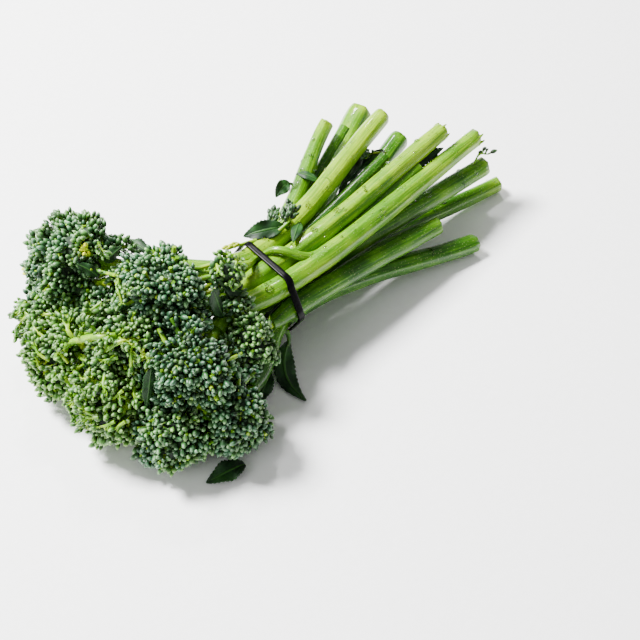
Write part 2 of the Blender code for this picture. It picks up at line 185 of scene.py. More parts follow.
# How yellow each head's buds are, from 0, blue-green, to 1, yellow-green.
HEAD_TINT = {
    "1": 0.35, "2": 0.85, "3": 0.22, "4": 0.4, "5": 0.95, "6": 0.6, "7": 0.1, "8": 0.9, "9": 0.3, "10": 0.12,
    "11": 0.5, "shoot": 0.85,
}
# How far each head's florets lean along its stem's line: at 0 they face straight out of the dome.
HEAD_LEAN = {
    "1": 0.3, "2": 0.6, "3": 0.25, "4": 0.5, "5": 0.7, "6": 0.6, "7": 0.3, "8": 0.65, "9": 0.4, "10": 0.4,
    "11": 0.5, "shoot": 0.5,
}
# Further florets in deep gaps and beside the first head: the head each hangs from, its middle and its radius.
GAP_FLORETS = [
    ("1", (-64, 32, 30), 4.5), ("1", (-60, 30, 36), 4.0), ("6", (-62, 24, 33), 4.5),
    ("5", (-68, 26, 30), 4.5), ("3", (-56, 22, 38), 4.0), ("3", (-34, 22, 34), 4.0),
    ("1", (-41, 45, 40.5), 5.0), ("1", (-37.5, 42.5, 38), 4.0), ("1", (-46, 46, 43), 4.5),
    ("1", (-41, 50, 38), 4.0),
]
# How light each stem's skin is, from 0, deep green, to 1, pale yellow-green.
STEM_TINT = {
    "1": 0.6, "2": 0.6, "3": 0.85, "4": 0.2, "5": 0.5, "6": 0.7, "7": 0.65, "8": 0.45, "9": 0.4, "10": 0.2,
    "11": 0.3,
}

# How far from its cut end a stem has begun to turn pale, and how much lighter it is there.
PALE_END_LENGTH = 14.0
PALE_END_TINT = 0.3

# The cut's slant reaches this far along the stem. Its rim is drawn back and ragged by these amounts.
CUT_REACH = 6.0 * MM
CUT_DRAWN_BACK = 0.6 * MM
CUT_RAGGED = 0.12 * MM

DROPS_PER_STEM = 64

# Each leaf: base, middle, tip, full width, direction across the blade, how far the edges wave.
LEAVES = {
    "leaf_1": ((-4, -18, 9), (-16, -23, 1.5), (-14, -41, 0.8), 9, (1.0, -0.3, 0.0), 0.8),
    "leaf_2": ((-19, -24, 6.5), (-24, -27, 5.5), (-31, -31, 0.8), 7, (0.4, -0.9, 0.0), 0.6),
    "leaf_3": ((-53, -51, 2.6), (-61, -50, 4), (-69, -47.5, 0.7), 9, (0.2, 1.0, 0.1), 0.8),
    "leaf_4": ((17.5, 10.8, 40), (8, 13.8, 42), (2.8, 19, 37.5), 8, (0.3, 0.5, 0.5), 0.7),
    "leaf_5": ((24.5, 9.0, 39.2), (19, 4.6, 42.4), (14, 0.6, 40.8), 4.5, (0.7, -0.7, 0.0), 0.3),
    "leaf_6": ((44.3, 34.6, 37.3), (46.5, 29.2, 39.2), (49, 25.8, 35.6), 4, (0.9, 0.3, 0.2), 0.4),
    "leaf_7": ((38.5, 33, 36), (34, 33, 37.6), (30, 31.6, 34), 6, (-0.3, 0.5, 0.4), 0.6),
    "leaf_8": ((84, 24, 35), (72, 22, 37), (58, 18, 35.5), 8, (-0.1, 1.0, -0.3), 0.9),
    "leaf_9": ((-31, 37, 35), (-33, 44, 38), (-34, 52, 34), 5.5, (1.0, 0.1, 0.1), 0.9),
}
# Leaves low in the gaps, between the stems.
STRAY_LEAVES = {
    "stray_leaf_1": ((78, 27, 37), (66, 24, 36), (52, 17, 31), 7, (0.1, 0.9, -0.3), 0.8),
    "stray_leaf_2": ((60, 22, 33), (66, 26, 31), (78, 32, 30), 7, (0.2, -0.6, 0.6), 0.8),
    "stray_leaf_3": ((84, 6.5, 36), (95, 8.5, 37), (106, 9, 34), 6, (0.1, 0.9, 0.3), 0.8),
}

BAND_WIDTH = 3.0
BAND_THICKNESS = 1.2
BAND_OFFSET = 5.5
BAND_SIDES = 16

LEAF_ROWS, LEAF_COLUMNS = 34, 13
LEAF_THICKNESS = 0.45
BRACT_LIFT = 1.6

# The camera's turn about the bunch and its height, in degrees, its distance in metres, its lens and sensor in
# millimetres, and the plan point that it looks at.
CAMERA_AZIMUTH, CAMERA_ELEVATION, CAMERA_DISTANCE = -40, 48, 0.6
CAMERA_LENS, CAMERA_SENSOR = 80, 36
CAMERA_TARGET = Vector((17.72, -12.0, 1.98))
AIR_STRENGTH = 0.4
# Each lamp: place in metres, width and power in watts.
LAMPS = {
    "key_light": ((-0.38, 0.7, 1.05), 0.34, 94.0),
    "fill_light": ((-1.3, 0.0, 0.8), 0.8, 7.0),
    "gloss_light": ((0.46, 0.7, 1.02), 0.1, 8.0),
}


def linear(code):
    """A six-digit sRGB hex colour as linear red, green, blue and alpha."""
    parts = [int(code[i : i + 2], 16) / 255 for i in (1, 3, 5)]
    return (*[p / 12.92 if p <= 0.04045 else ((p + 0.055) / 1.055) ** 2.4 for p in parts], 1)


def add(tree, kind, links=None, stops=(), **settings):
    """Adds a node to a tree.

    links maps the node's sockets to what feeds them, stops are a ramp's places and colours, and the rest are
    the node's own settings.
    """
    made = tree.nodes.new(kind)
    for name, value in settings.items():
        setattr(made, name, value)
    for i, (position, code) in enumerate(stops):
        ramp = made.color_ramp.elements
        stop = ramp[i] if i < 2 else ramp.new(position)
        stop.position = position
        stop.color = linear(code)
    for socket, source in (links or {}).items():
        if isinstance(source, bpy.types.NodeSocket):
            tree.links.new(source, made.inputs[socket])
        else:
            made.inputs[socket].default_value = source
    return made


def metres(points):
    """Plan points, in millimetres from the band, as places in the scene."""
    return (np.asarray(points, float) - np.array(BOX_CENTRE)) * MM


def unit(vectors):
    vectors = np.asarray(vectors, float)
    return vectors / np.maximum(np.linalg.norm(vectors, axis=-1, keepdims=True), 1e-9)


# ---------------------------------------------------------------- materials


def new_material(name):
    """A material with its Principled shader and the shader's tree."""
    material = bpy.data.materials.new(name)
    material.use_nodes = True
    tree = material.node_tree
    return material, tree, tree.nodes["Principled BSDF"]


def bud_material():
    """Waxy flower bud: blue-green under a pale tip, on a fresh yellow-green stalk.

    The pale tip is partly the wax bloom and partly painted highlight, and the near-black low on the bud is
    painted shade between the buds. The shade attribute brings random tone and painted shade. The tint
    attribute turns it from blue-green, at 0, to yellow-green, at 1, and on to opening yellow, at 2.
    """
    material, tree, shader = new_material("waxy_bud")
    tint, tip, shade = (
        add(tree, "ShaderNodeAttribute", attribute_name=name) for name in ("tint", "tip", "shade")
    )
    place = add(tree, "ShaderNodeTexCoord")
    # Patches about 4 mm across.
    patches = add(
        tree, "ShaderNodeTexNoise", {"Vector": place.outputs["Object"], "Scale": 250.0, "Detail": 2.0}
    )
    # Painted light: each ramp runs from the stalk, through near-black painted shade low on the bud, to a pale
    # tip that is partly bloom and partly painted highlight.
    blue = add(
        tree, "ShaderNodeValToRGB", {"Fac": tip.outputs["Fac"]},
        stops=((0.0, "#4E7A26"), (0.25, "#0E220E"), (0.5, "#1C3E22"), (0.75, "#346040"), (1.0, "#769A7A")),
    )
    yellow = add(
        tree, "ShaderNodeValToRGB", {"Fac": tip.outputs["Fac"]},
        stops=((0.0, "#80A824"), (0.25, "#1C3E0A"), (0.5, "#36601A"), (0.75, "#588634"), (1.0, "#94B668")),
    )
    ripe = add(
        tree, "ShaderNodeValToRGB", {"Fac": tip.outputs["Fac"]},
        stops=((0.0, "#7CB014"), (0.5, "#A8C000"), (1.0, "#E4E020")),
    )
    skin = add(
        tree, "ShaderNodeMix",
        {0: tint.outputs["Fac"], 6: blue.outputs["Color"], 7: yellow.outputs["Color"]}, data_type="RGBA",
    )
    opening = add(
        tree, "ShaderNodeMath", {0: tint.outputs["Fac"], 1: 1.0}, operation="SUBTRACT", use_clamp=True
    )
    skin = add(
        tree, "ShaderNodeMix",
        {0: opening.outputs["Value"], 6: skin.outputs[2], 7: ripe.outputs["Color"]}, data_type="RGBA",
    )
    # Random patches of tone, times the shade attribute, which carries painted shade.
    tone_and_painted_shade = add(
        tree, "ShaderNodeMapRange", {"Value": patches.outputs["Fac"], "To Min": 0.6, "To Max": 1.4}
    )
    tone_and_painted_shade = add(
        tree, "ShaderNodeMath", {0: tone_and_painted_shade.outputs["Result"], 1: shade.outputs["Fac"]}, operation="MULTIPLY"
    )
    skin_with_painted_light = add(
        tree, "ShaderNodeHueSaturation", {"Value": tone_and_painted_shade.outputs["Value"], "Color": skin.outputs[2]}
    )
    tree.links.new(skin_with_painted_light.outputs["Color"], shader.inputs["Base Color"])
    shader.inputs["Roughness"].default_value = 0.38
    shader.inputs["Specular IOR Level"].default_value = 0.4
    return material


def stem_material():
    """Fresh stem: smooth moist skin, streaked lengthwise, with a pale fibrous pith where it is cut.

    The thin coat is the film of water on it, which gives crisp lines of light.
    """
    material, tree, shader = new_material("fresh_stem_skin")
    ring, along, tint, cut = (
        add(tree, "ShaderNodeAttribute", attribute_name=name) for name in ("ring", "along", "tint", "cut")
    )
    split = add(tree, "ShaderNodeSeparateXYZ", {"Vector": ring.outputs["Vector"]})
    # Streaks about a fifth of the stem's radius wide and 17 mm long.
    length = add(tree, "ShaderNodeMath", {0: along.outputs["Fac"], 1: 12.0}, operation="MULTIPLY")
    wrap = add(
        tree, "ShaderNodeCombineXYZ",
        {"X": split.outputs["X"], "Y": split.outputs["Y"], "Z": length.outputs["Value"]},
    )
    streaks = add(tree, "ShaderNodeTexNoise", {"Vector": wrap.outputs["Vector"], "Scale": 5.0, "Detail": 4.0})
    place = add(tree, "ShaderNodeTexCoord")
    # Clouds about 17 mm across, and pale pores 1.1 mm apart.
    clouds = add(
        tree, "ShaderNodeTexNoise", {"Vector": place.outputs["Object"], "Scale": 60.0, "Detail": 3.0}
    )
    specks = add(tree, "ShaderNodeTexVoronoi", {"Vector": place.outputs["Object"], "Scale": 900.0})
    shade = add(
        tree, "ShaderNodeMath",
        {0: streaks.outputs["Fac"], 1: clouds.outputs["Fac"]}, operation="ADD",
    )
    shade = add(tree, "ShaderNodeMath", {0: shade.outputs["Value"], 1: tint.outputs["Fac"]}, operation="ADD")
    shade = add(
        tree, "ShaderNodeMapRange",
        {"Value": shade.outputs["Value"], "From Min": 0.85, "From Max": 2.05},
    )
    skin = add(
        tree, "ShaderNodeValToRGB", {"Fac": shade.outputs["Result"]},
        stops=((0.0, "#082000"), (0.35, "#265800"), (0.65, "#508400"), (1.0, "#8CB000")),
    )
    dots = add(
        tree, "ShaderNodeMapRange",
        {"Value": specks.outputs["Distance"], "From Max": 0.28, "To Min": 0.35, "To Max": 0.0},
    )
    speckled = add(
        tree, "ShaderNodeMix",
        {0: dots.outputs["Result"], 6: skin.outputs["Color"], 7: linear("#D5E29A")}, data_type="RGBA",
    )
    # Fibres in the cut about 0.7 mm thick.
    fibres = add(
        tree, "ShaderNodeTexNoise", {"Vector": place.outputs["Object"], "Scale": 1500.0, "Detail": 2.0}
    )
    pith = add(
        tree, "ShaderNodeValToRGB", {"Fac": fibres.outputs["Fac"]},
        stops=((0.3, "#B9C77A"), (0.6, "#EDEFCB")),
    )
    ends = add(
        tree, "ShaderNodeMix",
        {0: cut.outputs["Fac"], 6: speckled.outputs[2], 7: pith.outputs["Color"]}, data_type="RGBA",
    )
    tree.links.new(ends.outputs[2], shader.inputs["Base Color"])
    bump = add(
        tree, "ShaderNodeBump",
        {"Strength": 0.5, "Distance": 0.0006, "Height": streaks.outputs["Fac"]},
    )
    tree.links.new(bump.outputs["Normal"], shader.inputs["Normal"])
    shader.inputs["Roughness"].default_value = 0.36
    shader.inputs["Specular IOR Level"].default_value = 0.2
    shader.inputs["Coat Weight"].default_value = 0.3
    shader.inputs["Coat Roughness"].default_value = 0.07
    return material


def stalk_material():
    """Young branch inside a head: soft yellow-green skin."""
    material, tree, shader = new_material("young_branch_skin")
    place = add(tree, "ShaderNodeTexCoord")
    # Patches about 6 mm across.
    patches = add(
        tree, "ShaderNodeTexNoise", {"Vector": place.outputs["Object"], "Scale": 180.0, "Detail": 3.0}
    )
    skin = add(
        tree, "ShaderNodeValToRGB", {"Fac": patches.outputs["Fac"]},
        stops=((0.3, "#3C7A00"), (0.5, "#6C9E04"), (0.7, "#A4BE18")),
    )
    tree.links.new(skin.outputs["Color"], shader.inputs["Base Color"])
    shader.inputs["Roughness"].default_value = 0.38
    return material


def core_material():
    """The tangle of stalks deep inside a head, coloured near-black as painted shade."""
    material, tree, shader = new_material("shaded_inner_stalks")
    place = add(tree, "ShaderNodeTexCoord")
    # A tangle of stalks about 2.4 mm thick.
    patches = add(
        tree, "ShaderNodeTexNoise", {"Vector": place.outputs["Object"], "Scale": 420.0, "Detail": 3.0}
    )
    # Painted shade: near-black greens stand for the shadow deep among the stalks.
    skin = add(
        tree, "ShaderNodeValToRGB", {"Fac": patches.outputs["Fac"]},
        stops=((0.35, "#081A08"), (0.55, "#12300F"), (0.75, "#2C541A")),
    )
    tree.links.new(skin.outputs["Color"], shader.inputs["Base Color"])
    bump = add(
        tree, "ShaderNodeBump", {"Strength": 0.8, "Distance": 0.001, "Height": patches.outputs["Fac"]}
    )
    tree.links.new(bump.outputs["Normal"], shader.inputs["Normal"])
    shader.inputs["Roughness"].default_value = 0.75
    return material


def leaf_material():
    """Brassica leaf: dark waxy blade with a pale midrib and side veins."""
    material, tree, shader = new_material("waxy_leaf_blade")
    across = add(tree, "ShaderNodeAttribute", attribute_name="across")
    along = add(tree, "ShaderNodeAttribute", attribute_name="along")
    place = add(tree, "ShaderNodeTexCoord")
    # Patches about 7 mm across.
    patches = add(
        tree, "ShaderNodeTexNoise", {"Vector": place.outputs["Object"], "Scale": 140.0, "Detail": 4.0}
    )
    blade = add(
        tree, "ShaderNodeValToRGB", {"Fac": patches.outputs["Fac"]},
        stops=((0.3, "#051806"), (0.5, "#0D300C"), (0.72, "#204E14")),
    )
    side = add(tree, "ShaderNodeMath", {0: across.outputs["Fac"]}, operation="ABSOLUTE")
    rib = add(
        tree, "ShaderNodeMapRange",
        {"Value": side.outputs["Value"], "From Min": 0.04, "From Max": 0.14, "To Min": 1.0, "To Max": 0.0},
    )
    # Seven pairs of side veins, which slant towards the tip.
    slant = add(
        tree, "ShaderNodeMath",
        {0: side.outputs["Value"], 1: -0.35, 2: along.outputs["Fac"]}, operation="MULTIPLY_ADD",
    )
    veins = add(tree, "ShaderNodeMath", {0: slant.outputs["Value"], 1: 46.0}, operation="MULTIPLY")
    veins = add(tree, "ShaderNodeMath", {0: veins.outputs["Value"]}, operation="SINE")
    veins = add(
        tree, "ShaderNodeMapRange",
        {"Value": veins.outputs["Value"], "From Min": 0.88, "From Max": 1.0, "To Min": 0.0, "To Max": 0.08},
    )
    pale = add(
        tree, "ShaderNodeMath", {0: rib.outputs["Result"], 1: veins.outputs["Result"]}, operation="MAXIMUM"
    )
    colour = add(
        tree, "ShaderNodeMix",
        {0: pale.outputs["Value"], 6: blade.outputs["Color"], 7: linear("#2E5A1C")}, data_type="RGBA",
    )
    tree.links.new(colour.outputs[2], shader.inputs["Base Color"])
    bump = add(tree, "ShaderNodeBump", {"Strength": 0.5, "Distance": 0.0005, "Height": pale.outputs["Value"]})
    tree.links.new(bump.outputs["Normal"], shader.inputs["Normal"])
    shader.inputs["Roughness"].default_value = 0.55
    shader.inputs["Specular IOR Level"].default_value = 0.3
    return material


def rubber_material():
    """Black natural rubber, cut from a sheet: satin with a faint grain."""
    material, tree, shader = new_material("black_rubber")
    place = add(tree, "ShaderNodeTexCoord")
    # Grain about 1.4 mm across, coarser than the real one, which would not show.
    grain = add(
        tree, "ShaderNodeTexNoise", {"Vector": place.outputs["Object"], "Scale": 700.0, "Detail": 3.0}
    )
    skin = add(
        tree, "ShaderNodeValToRGB", {"Fac": grain.outputs["Fac"]},
        stops=((0.3, "#010102"), (0.7, "#060608")),
    )
    tree.links.new(skin.outputs["Color"], shader.inputs["Base Color"])
    bump = add(tree, "ShaderNodeBump", {"Strength": 0.4, "Distance": 0.0002, "Height": grain.outputs["Fac"]})
    tree.links.new(bump.outputs["Normal"], shader.inputs["Normal"])
    shader.inputs["Roughness"].default_value = 0.3
    shader.inputs["Specular IOR Level"].default_value = 0.08
    return material


def water_material():
    """A drop of clean water: clear and smooth, with a sharp glint."""
    material, _, shader = new_material("water_drop")
    shader.inputs["Base Color"].default_value = (1, 1, 1, 1)
    shader.inputs["Roughness"].default_value = 0.0
    shader.inputs["IOR"].default_value = 1.333
    shader.inputs["Transmission Weight"].default_value = 1.0
    return material


def floor_material():
    """Matt off-white board: an even, plain ground."""
    material, tree, shader = new_material("matt_white_board")
    place = add(tree, "ShaderNodeTexCoord")
    # Grain about 3 mm across, just to be seen.
    grain = add(
        tree, "ShaderNodeTexNoise", {"Vector": place.outputs["Object"], "Scale": 300.0, "Detail": 2.0}
    )
    tone = add(
        tree, "ShaderNodeValToRGB", {"Fac": grain.outputs["Fac"]},
        stops=((0.3, "#FBFBFA"), (0.7, "#FEFEFE")),
    )
    tree.links.new(tone.outputs["Color"], shader.inputs["Base Color"])
    shader.inputs["Roughness"].default_value = 0.8
    return material


MATERIALS = {
    "bud": bud_material(),
    "stem": stem_material(),
    "branch": stalk_material(),
    "core": core_material(),
    "leaf": leaf_material(),
    "band": rubber_material(),
    "water": water_material(),
}

# ---------------------------------------------------------------- geometry trees


def new_tree(name, inputs):
    """A geometry tree with these inputs, and a map of the inputs' identifiers."""
    tree = bpy.data.node_groups.new(name, "GeometryNodeTree")
    tree.interface.new_socket(name="Geometry", in_out="INPUT", socket_type="NodeSocketGeometry")
    keys = {}
    for label, kind in inputs.items():
        keys[label] = tree.interface.new_socket(name=label, in_out="INPUT", socket_type=kind).identifier
    tree.interface.new_socket(name="Geometry", in_out="OUTPUT", socket_type="NodeSocketGeometry")
    return tree, keys


def tube_tree():
    """Skins every line of a mesh with a tube as thick as the line's thickness, with ridges along it."""
    tree, keys = new_tree(
        "grown_tube",
        {
            "Sides": "NodeSocketInt",
            "Ridges": "NodeSocketInt",
            "Ridge Depth": "NodeSocketFloat",
            "Material": "NodeSocketMaterial",
        },
    )
    given = add(tree, "NodeGroupInput")
    line = add(tree, "GeometryNodeMeshToCurve", {"Mesh": given.outputs["Geometry"]})
    thickness = add(tree, "GeometryNodeInputNamedAttribute", {"Name": "thickness"}, data_type="FLOAT")
    profile = add(
        tree, "GeometryNodeCurvePrimitiveCircle", {"Resolution": given.outputs["Sides"], "Radius": 1.0}
    )
    around = add(tree, "GeometryNodeInputPosition")
    marked = add(
        tree, "GeometryNodeStoreNamedAttribute",
        {"Geometry": profile.outputs["Curve"], "Name": "ring", "Value": around.outputs["Position"]},
        data_type="FLOAT_VECTOR", domain="POINT",
    )
    skin = add(
        tree, "GeometryNodeCurveToMesh",
        {
            "Curve": line.outputs["Curve"], "Profile Curve": marked.outputs["Geometry"],
            "Scale": thickness.outputs["Attribute"], "Fill Caps": True,
        },
    )
    ring = add(tree, "GeometryNodeInputNamedAttribute", {"Name": "ring"}, data_type="FLOAT_VECTOR")
    parts = add(tree, "ShaderNodeSeparateXYZ", {"Vector": ring.outputs["Attribute"]})
    angle = add(
        tree, "ShaderNodeMath", {0: parts.outputs["Y"], 1: parts.outputs["X"]}, operation="ARCTAN2"
    )
    wave = add(
        tree, "ShaderNodeMath", {0: angle.outputs["Value"], 1: given.outputs["Ridges"]}, operation="MULTIPLY"
    )
    wave = add(tree, "ShaderNodeMath", {0: wave.outputs["Value"]}, operation="COSINE")
    depth = add(
        tree, "ShaderNodeMath",
        {0: wave.outputs["Value"], 1: given.outputs["Ridge Depth"]}, operation="MULTIPLY"
    )
    depth = add(
        tree, "ShaderNodeMath",
        {0: depth.outputs["Value"], 1: thickness.outputs["Attribute"]}, operation="MULTIPLY"
    )
    outward = add(tree, "GeometryNodeInputNormal")
    offset = add(
        tree, "ShaderNodeVectorMath",
        {0: outward.outputs["Normal"], "Scale": depth.outputs["Value"]}, operation="SCALE",
    )
    moved = add(
        tree, "GeometryNodeSetPosition",
        {"Geometry": skin.outputs["Mesh"], "Offset": offset.outputs["Vector"]},
    )
    smooth = add(tree, "GeometryNodeSetShadeSmooth", {"Geometry": moved.outputs["Geometry"]})
    whole = add(tree, "GeometryNodeRealizeInstances", {"Geometry": smooth.outputs["Geometry"]})
    coloured = add(
        tree, "GeometryNodeSetMaterial",
        {"Geometry": whole.outputs["Geometry"], "Material": given.outputs["Material"]},
    )
    add(tree, "NodeGroupOutput", {"Geometry": coloured.outputs["Geometry"]})
    return tree, keys


def scatter_tree():
    """Stands a copy of one shape on every point, facing the point's own way and turned at random."""
    tree, keys = new_tree(
        "stood_on_points",
        {"Shape": "NodeSocketObject", "Seed": "NodeSocketInt", "Material": "NodeSocketMaterial"},
    )
    given = add(tree, "NodeGroupInput")
    shape = add(
        tree, "GeometryNodeObjectInfo", {"Object": given.outputs["Shape"]}, transform_space="ORIGINAL"
    )
    facing = add(tree, "GeometryNodeInputNamedAttribute", {"Name": "facing"}, data_type="FLOAT_VECTOR")
    size = add(tree, "GeometryNodeInputNamedAttribute", {"Name": "size"}, data_type="FLOAT")
    upright = add(
        tree, "FunctionNodeAlignRotationToVector", {"Vector": facing.outputs["Attribute"]}, axis="Z"
    )
    turn = add(
        tree, "FunctionNodeRandomValue",
        {2: 0.0, 3: 2 * math.pi, "Seed": given.outputs["Seed"]}, data_type="FLOAT"
    )
    spin = add(tree, "FunctionNodeAxisAngleToRotation", {"Axis": (0, 0, 1), "Angle": turn.outputs[1]})
    stood = add(
        tree, "FunctionNodeRotateRotation",
        {"Rotation": upright.outputs["Rotation"], "Rotate By": spin.outputs["Rotation"]},
        rotation_space="LOCAL",
    )
    copies = add(
        tree, "GeometryNodeInstanceOnPoints",
        {
            "Points": given.outputs["Geometry"], "Instance": shape.outputs["Geometry"],
            "Rotation": stood.outputs["Rotation"], "Scale": size.outputs["Attribute"],
        },
    )
    whole = add(tree, "GeometryNodeRealizeInstances", {"Geometry": copies.outputs["Instances"]})
    smooth = add(tree, "GeometryNodeSetShadeSmooth", {"Geometry": whole.outputs["Geometry"]})
    coloured = add(
        tree, "GeometryNodeSetMaterial",
        {"Geometry": smooth.outputs["Geometry"], "Material": given.outputs["Material"]},
    )
    add(tree, "NodeGroupOutput", {"Geometry": coloured.outputs["Geometry"]})
    return tree, keys


TUBES = tube_tree()
SCATTER = scatter_tree()


def grow(name, mesh, tree_and_keys, values, material):
    """Runs a geometry tree on a mesh and returns the result as a plain mesh object."""
    tree, keys = tree_and_keys
    obj = bpy.data.objects.new(name, mesh)
    bpy.context.scene.collection.objects.link(obj)
    modifier = obj.modifiers.new(tree.name, "NODES")
    modifier.node_group = tree
    for label, value in values.items():
        modifier[keys[label]] = value
    modifier[keys["Material"]] = MATERIALS[material]
    bpy.context.view_layer.update()
    graph = bpy.context.evaluated_depsgraph_get()
    made = bpy.data.meshes.new_from_object(obj.evaluated_get(graph))
    obj.modifiers.clear()
    obj.data = made
    made.name = name
    return obj


def point_mesh(name, points, values):
    """Loose points with named values: numbers, or vectors of three."""
    mesh = bpy.data.meshes.new(name)
    mesh.from_pydata([tuple(p) for p in metres(points)], [], [])
    for label, column in values.items():
        column = np.asarray(column, np.float32)
        if column.ndim == 2:
            mesh.attributes.new(label, "FLOAT_VECTOR", "POINT").data.foreach_set("vector", column.ravel())
        else:
            mesh.attributes.new(label, "FLOAT", "POINT").data.foreach_set("value", column)
    return mesh


def line_mesh(name, lines):
    """A mesh of open lines, in plan millimetres. A line may have a tint, and say where it is a cut face."""
    points, edges, start = [], [], 0
    values = {"thickness": [], "along": [], "tint": [], "cut": []}
    for line in lines:
        route = np.asarray(line["points"], float)
        count = len(route)
        steps = np.linalg.norm(np.diff(route, axis=0), axis=1)
        points.append(route)
        edges += [(start + i, start + i + 1) for i in range(count - 1)]
        values["thickness"].append(np.asarray(line["radii"], float) * MM)
        values["along"].append(np.concatenate([[0.0], np.cumsum(steps)]) * MM)
        values["tint"].append(np.zeros(count) + line.get("tint", 0.5))
        values["cut"].append(np.asarray(line.get("cut", np.zeros(count)), float))
        start += count
    mesh = bpy.data.meshes.new(name)
    mesh.from_pydata([tuple(p) for p in metres(np.concatenate(points))], edges, [])
    for label, columns in values.items():
        column = np.concatenate(columns).astype(np.float32)
        mesh.attributes.new(label, "FLOAT", "POINT").data.foreach_set("value", column)
    return mesh


def grow_lines(name, lines, sides, ridges, depth, material):
    """Tubes along these lines, each with so many sides and ridges."""
    values = {"Sides": sides, "Ridges": ridges, "Ridge Depth": depth}
    return grow(name, line_mesh(f"{name}_lines", lines), TUBES, values, material)


def stand_copies(name, places, values, shape, seed, material):
    """Copies of a shape, one on each place."""
    points = point_mesh(f"{name}_points", places, values)
    return grow(name, points, SCATTER, {"Shape": shape, "Seed": seed}, material)


def finish_piece(obj, slot, *nodes):
    """The piece moves with the bunch and stands for these CAD nodes, which it hides. The slot is not used."""
    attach(obj, "root")
    if nodes:
        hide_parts(*nodes)


# ---------------------------------------------------------------- the plan of the bunch


def slot_point(slot):
    column, row = slot
    return Vector((0, column * STEM_PITCH, BUNDLE_HEIGHT + row * STEM_ROW))


def hermite(start, end, leave, arrive, share):
    """A point on the cubic between two points with these directions at its ends."""
    length = (end - start).length
    s2, s3 = share**2, share**3
    return (
        start * (2 * s3 - 3 * s2 + 1)
        + leave * length * (s3 - 2 * s2 + share)
        + end * (3 * s2 - 2 * s3)
        + arrive * length * (s3 - s2)
    )


class Head:
    """A head's place, size and the planes halfway to its neighbours."""

    def __init__(self, name, centre, radius, axis):
        self.name = name
        self.centre = Vector(centre)
        self.radius = radius
        self.axis = axis.normalized()
        self.planes = []
        lobes = round(2 * (1 - math.cos(DOME_ANGLE)) / LOBE_SPACING**2 * LOBE_CROWDING)
        self.lobes = self.dome(lobes)

    @property
    def neck_radius(self):
        """The radius of the stem's top, where the head's branches start."""
        if self.name == "shoot":
            return FORK_TOP_RADIUS
        return max(SLIMMEST_NECK, STEM_RADIUS_AT_HEAD * self.radius)

    @property
    def base(self):
        """Where the stem's top meets the head's neck."""
        return self.centre - self.axis * self.radius * NECK_START

    def dome(self, count):
        """Directions spread evenly over the dome, from its crown down to its rim."""
        across = self.axis.orthogonal().normalized()
        up = self.axis.cross(across)
        directions = []
        for i in range(count):
            height = 1 - (i + 0.5) / count * (1 - math.cos(DOME_ANGLE))
            ring = math.sqrt(1 - height**2)
            turn = i * GOLDEN_ANGLE
            side = across * math.cos(turn) + up * math.sin(turn)
            directions.append(self.axis * height + side * ring)
        return np.array(directions)

    def press(self, other):
        """Adds the flat side that this head and another press on each other."""
        apart = other.centre - self.centre
        distance = apart.length
        if distance > self.radius + other.radius:
            return
        offset = (distance**2 + self.radius**2 - other.radius**2) / (2 * distance)
        self.planes.append((np.array(apart / distance), offset - HEAD_GAP / 2))

    def lobed(self, directions):
        """The distance from the centre to the dome's lobed surface."""
        cosine = np.clip(directions @ self.lobes.T, 0, 1)
        aside = LOBE_RADIUS**2 - LOBE_REACH**2 * (1 - cosine**2)
        met = (aside > 0) & (cosine > 0)
        reach = np.where(met, LOBE_REACH * cosine + np.sqrt(np.maximum(aside, 0)), 0)
        return np.maximum(reach.max(axis=1), GROOVE_REACH) * self.radius

    def sunk(self, directions, reach):
        """The same reach along each direction, less what the dips take off it."""
        places = np.array(self.centre) + directions * reach[:, None]
        depth = np.zeros(len(directions))
        for spot, width, deep in DIPS:
            apart = np.linalg.norm(places - np.array(spot), axis=1)
            depth = np.maximum(depth, deep * np.exp(-((apart / width) ** 2)))
        return reach - depth

    def limit(self, directions, margin):
        """How far along each direction something this thick may lie, short of a neighbour or the table."""
        limit = np.full(len(directions), self.radius * 2)
        for normal, offset in self.planes:
            cosine = directions @ normal
            reach = (offset - margin) / np.maximum(cosine, 1e-3)
            limit = np.where(cosine > 1e-3, np.minimum(limit, reach), limit)
        down = -directions[:, 2]
        reach = (self.centre.z - margin) / np.maximum(down, 1e-3)
        return np.where(down > 1e-3, np.minimum(limit, reach), limit)


def plan_bunch():
    """The heads and the stems' centre lines, as in the part's source, but with more points."""
    heads, routes = {}, {}
    for name, (cut, _, slot, before, centre, radius) in STALKS.items():
        cut, before, slot = Vector(cut), Vector(before), slot_point(slot)
        head = Head(name, centre, radius, Vector(centre) - before)
        outward = (slot - cut).normalized()
        to_before = (before - slot).normalized()
        along = (outward + to_before + Vector((-2, 0, 0))).normalized()
        turn = (to_before + head.axis).normalized()
        route = [hermite(cut, slot, outward, along, i / 40) for i in range(40)]
        route += [hermite(slot, before, along, turn, i / 16) for i in range(16)]
        route += [hermite(before, head.base, turn, head.axis, i / 10) for i in range(11)]
        heads[name] = head
        routes[name] = np.array(route)
    heads["shoot"] = Head("shoot", SHOOT_CENTRE, SHOOT_RADIUS, Vector(SHOOT_CENTRE) - Vector(FORK_ROUTE[-2]))
    for head in heads.values():
        for other in heads.values():
            if other is not head:
                head.press(other)
    return heads, routes


def smooth_line(points, count):
    """A Catmull-Rom curve through these points."""
    points = np.asarray(points, float)
    padded = np.concatenate([[2 * points[0] - points[1]], points, [2 * points[-1] - points[-2]]])
    result = []
    for share in np.linspace(0, len(points) - 1, count):
        i = min(int(share), len(points) - 2)
        t = share - i
        a, b, c, d = padded[i : i + 4]
        curve = 2 * b + (c - a) * t + (2 * a - 5 * b + 4 * c - d) * t**2 + (3 * b - a - 3 * c + d) * t**3
        result.append(0.5 * curve)
    return np.array(result)


def tapered(points, count, start, end, tint=0.5):
    """A smooth line through these points, whose radius goes from start to end."""
    return {"points": smooth_line(points, count), "radii": np.linspace(start, end, count), "tint": tint}


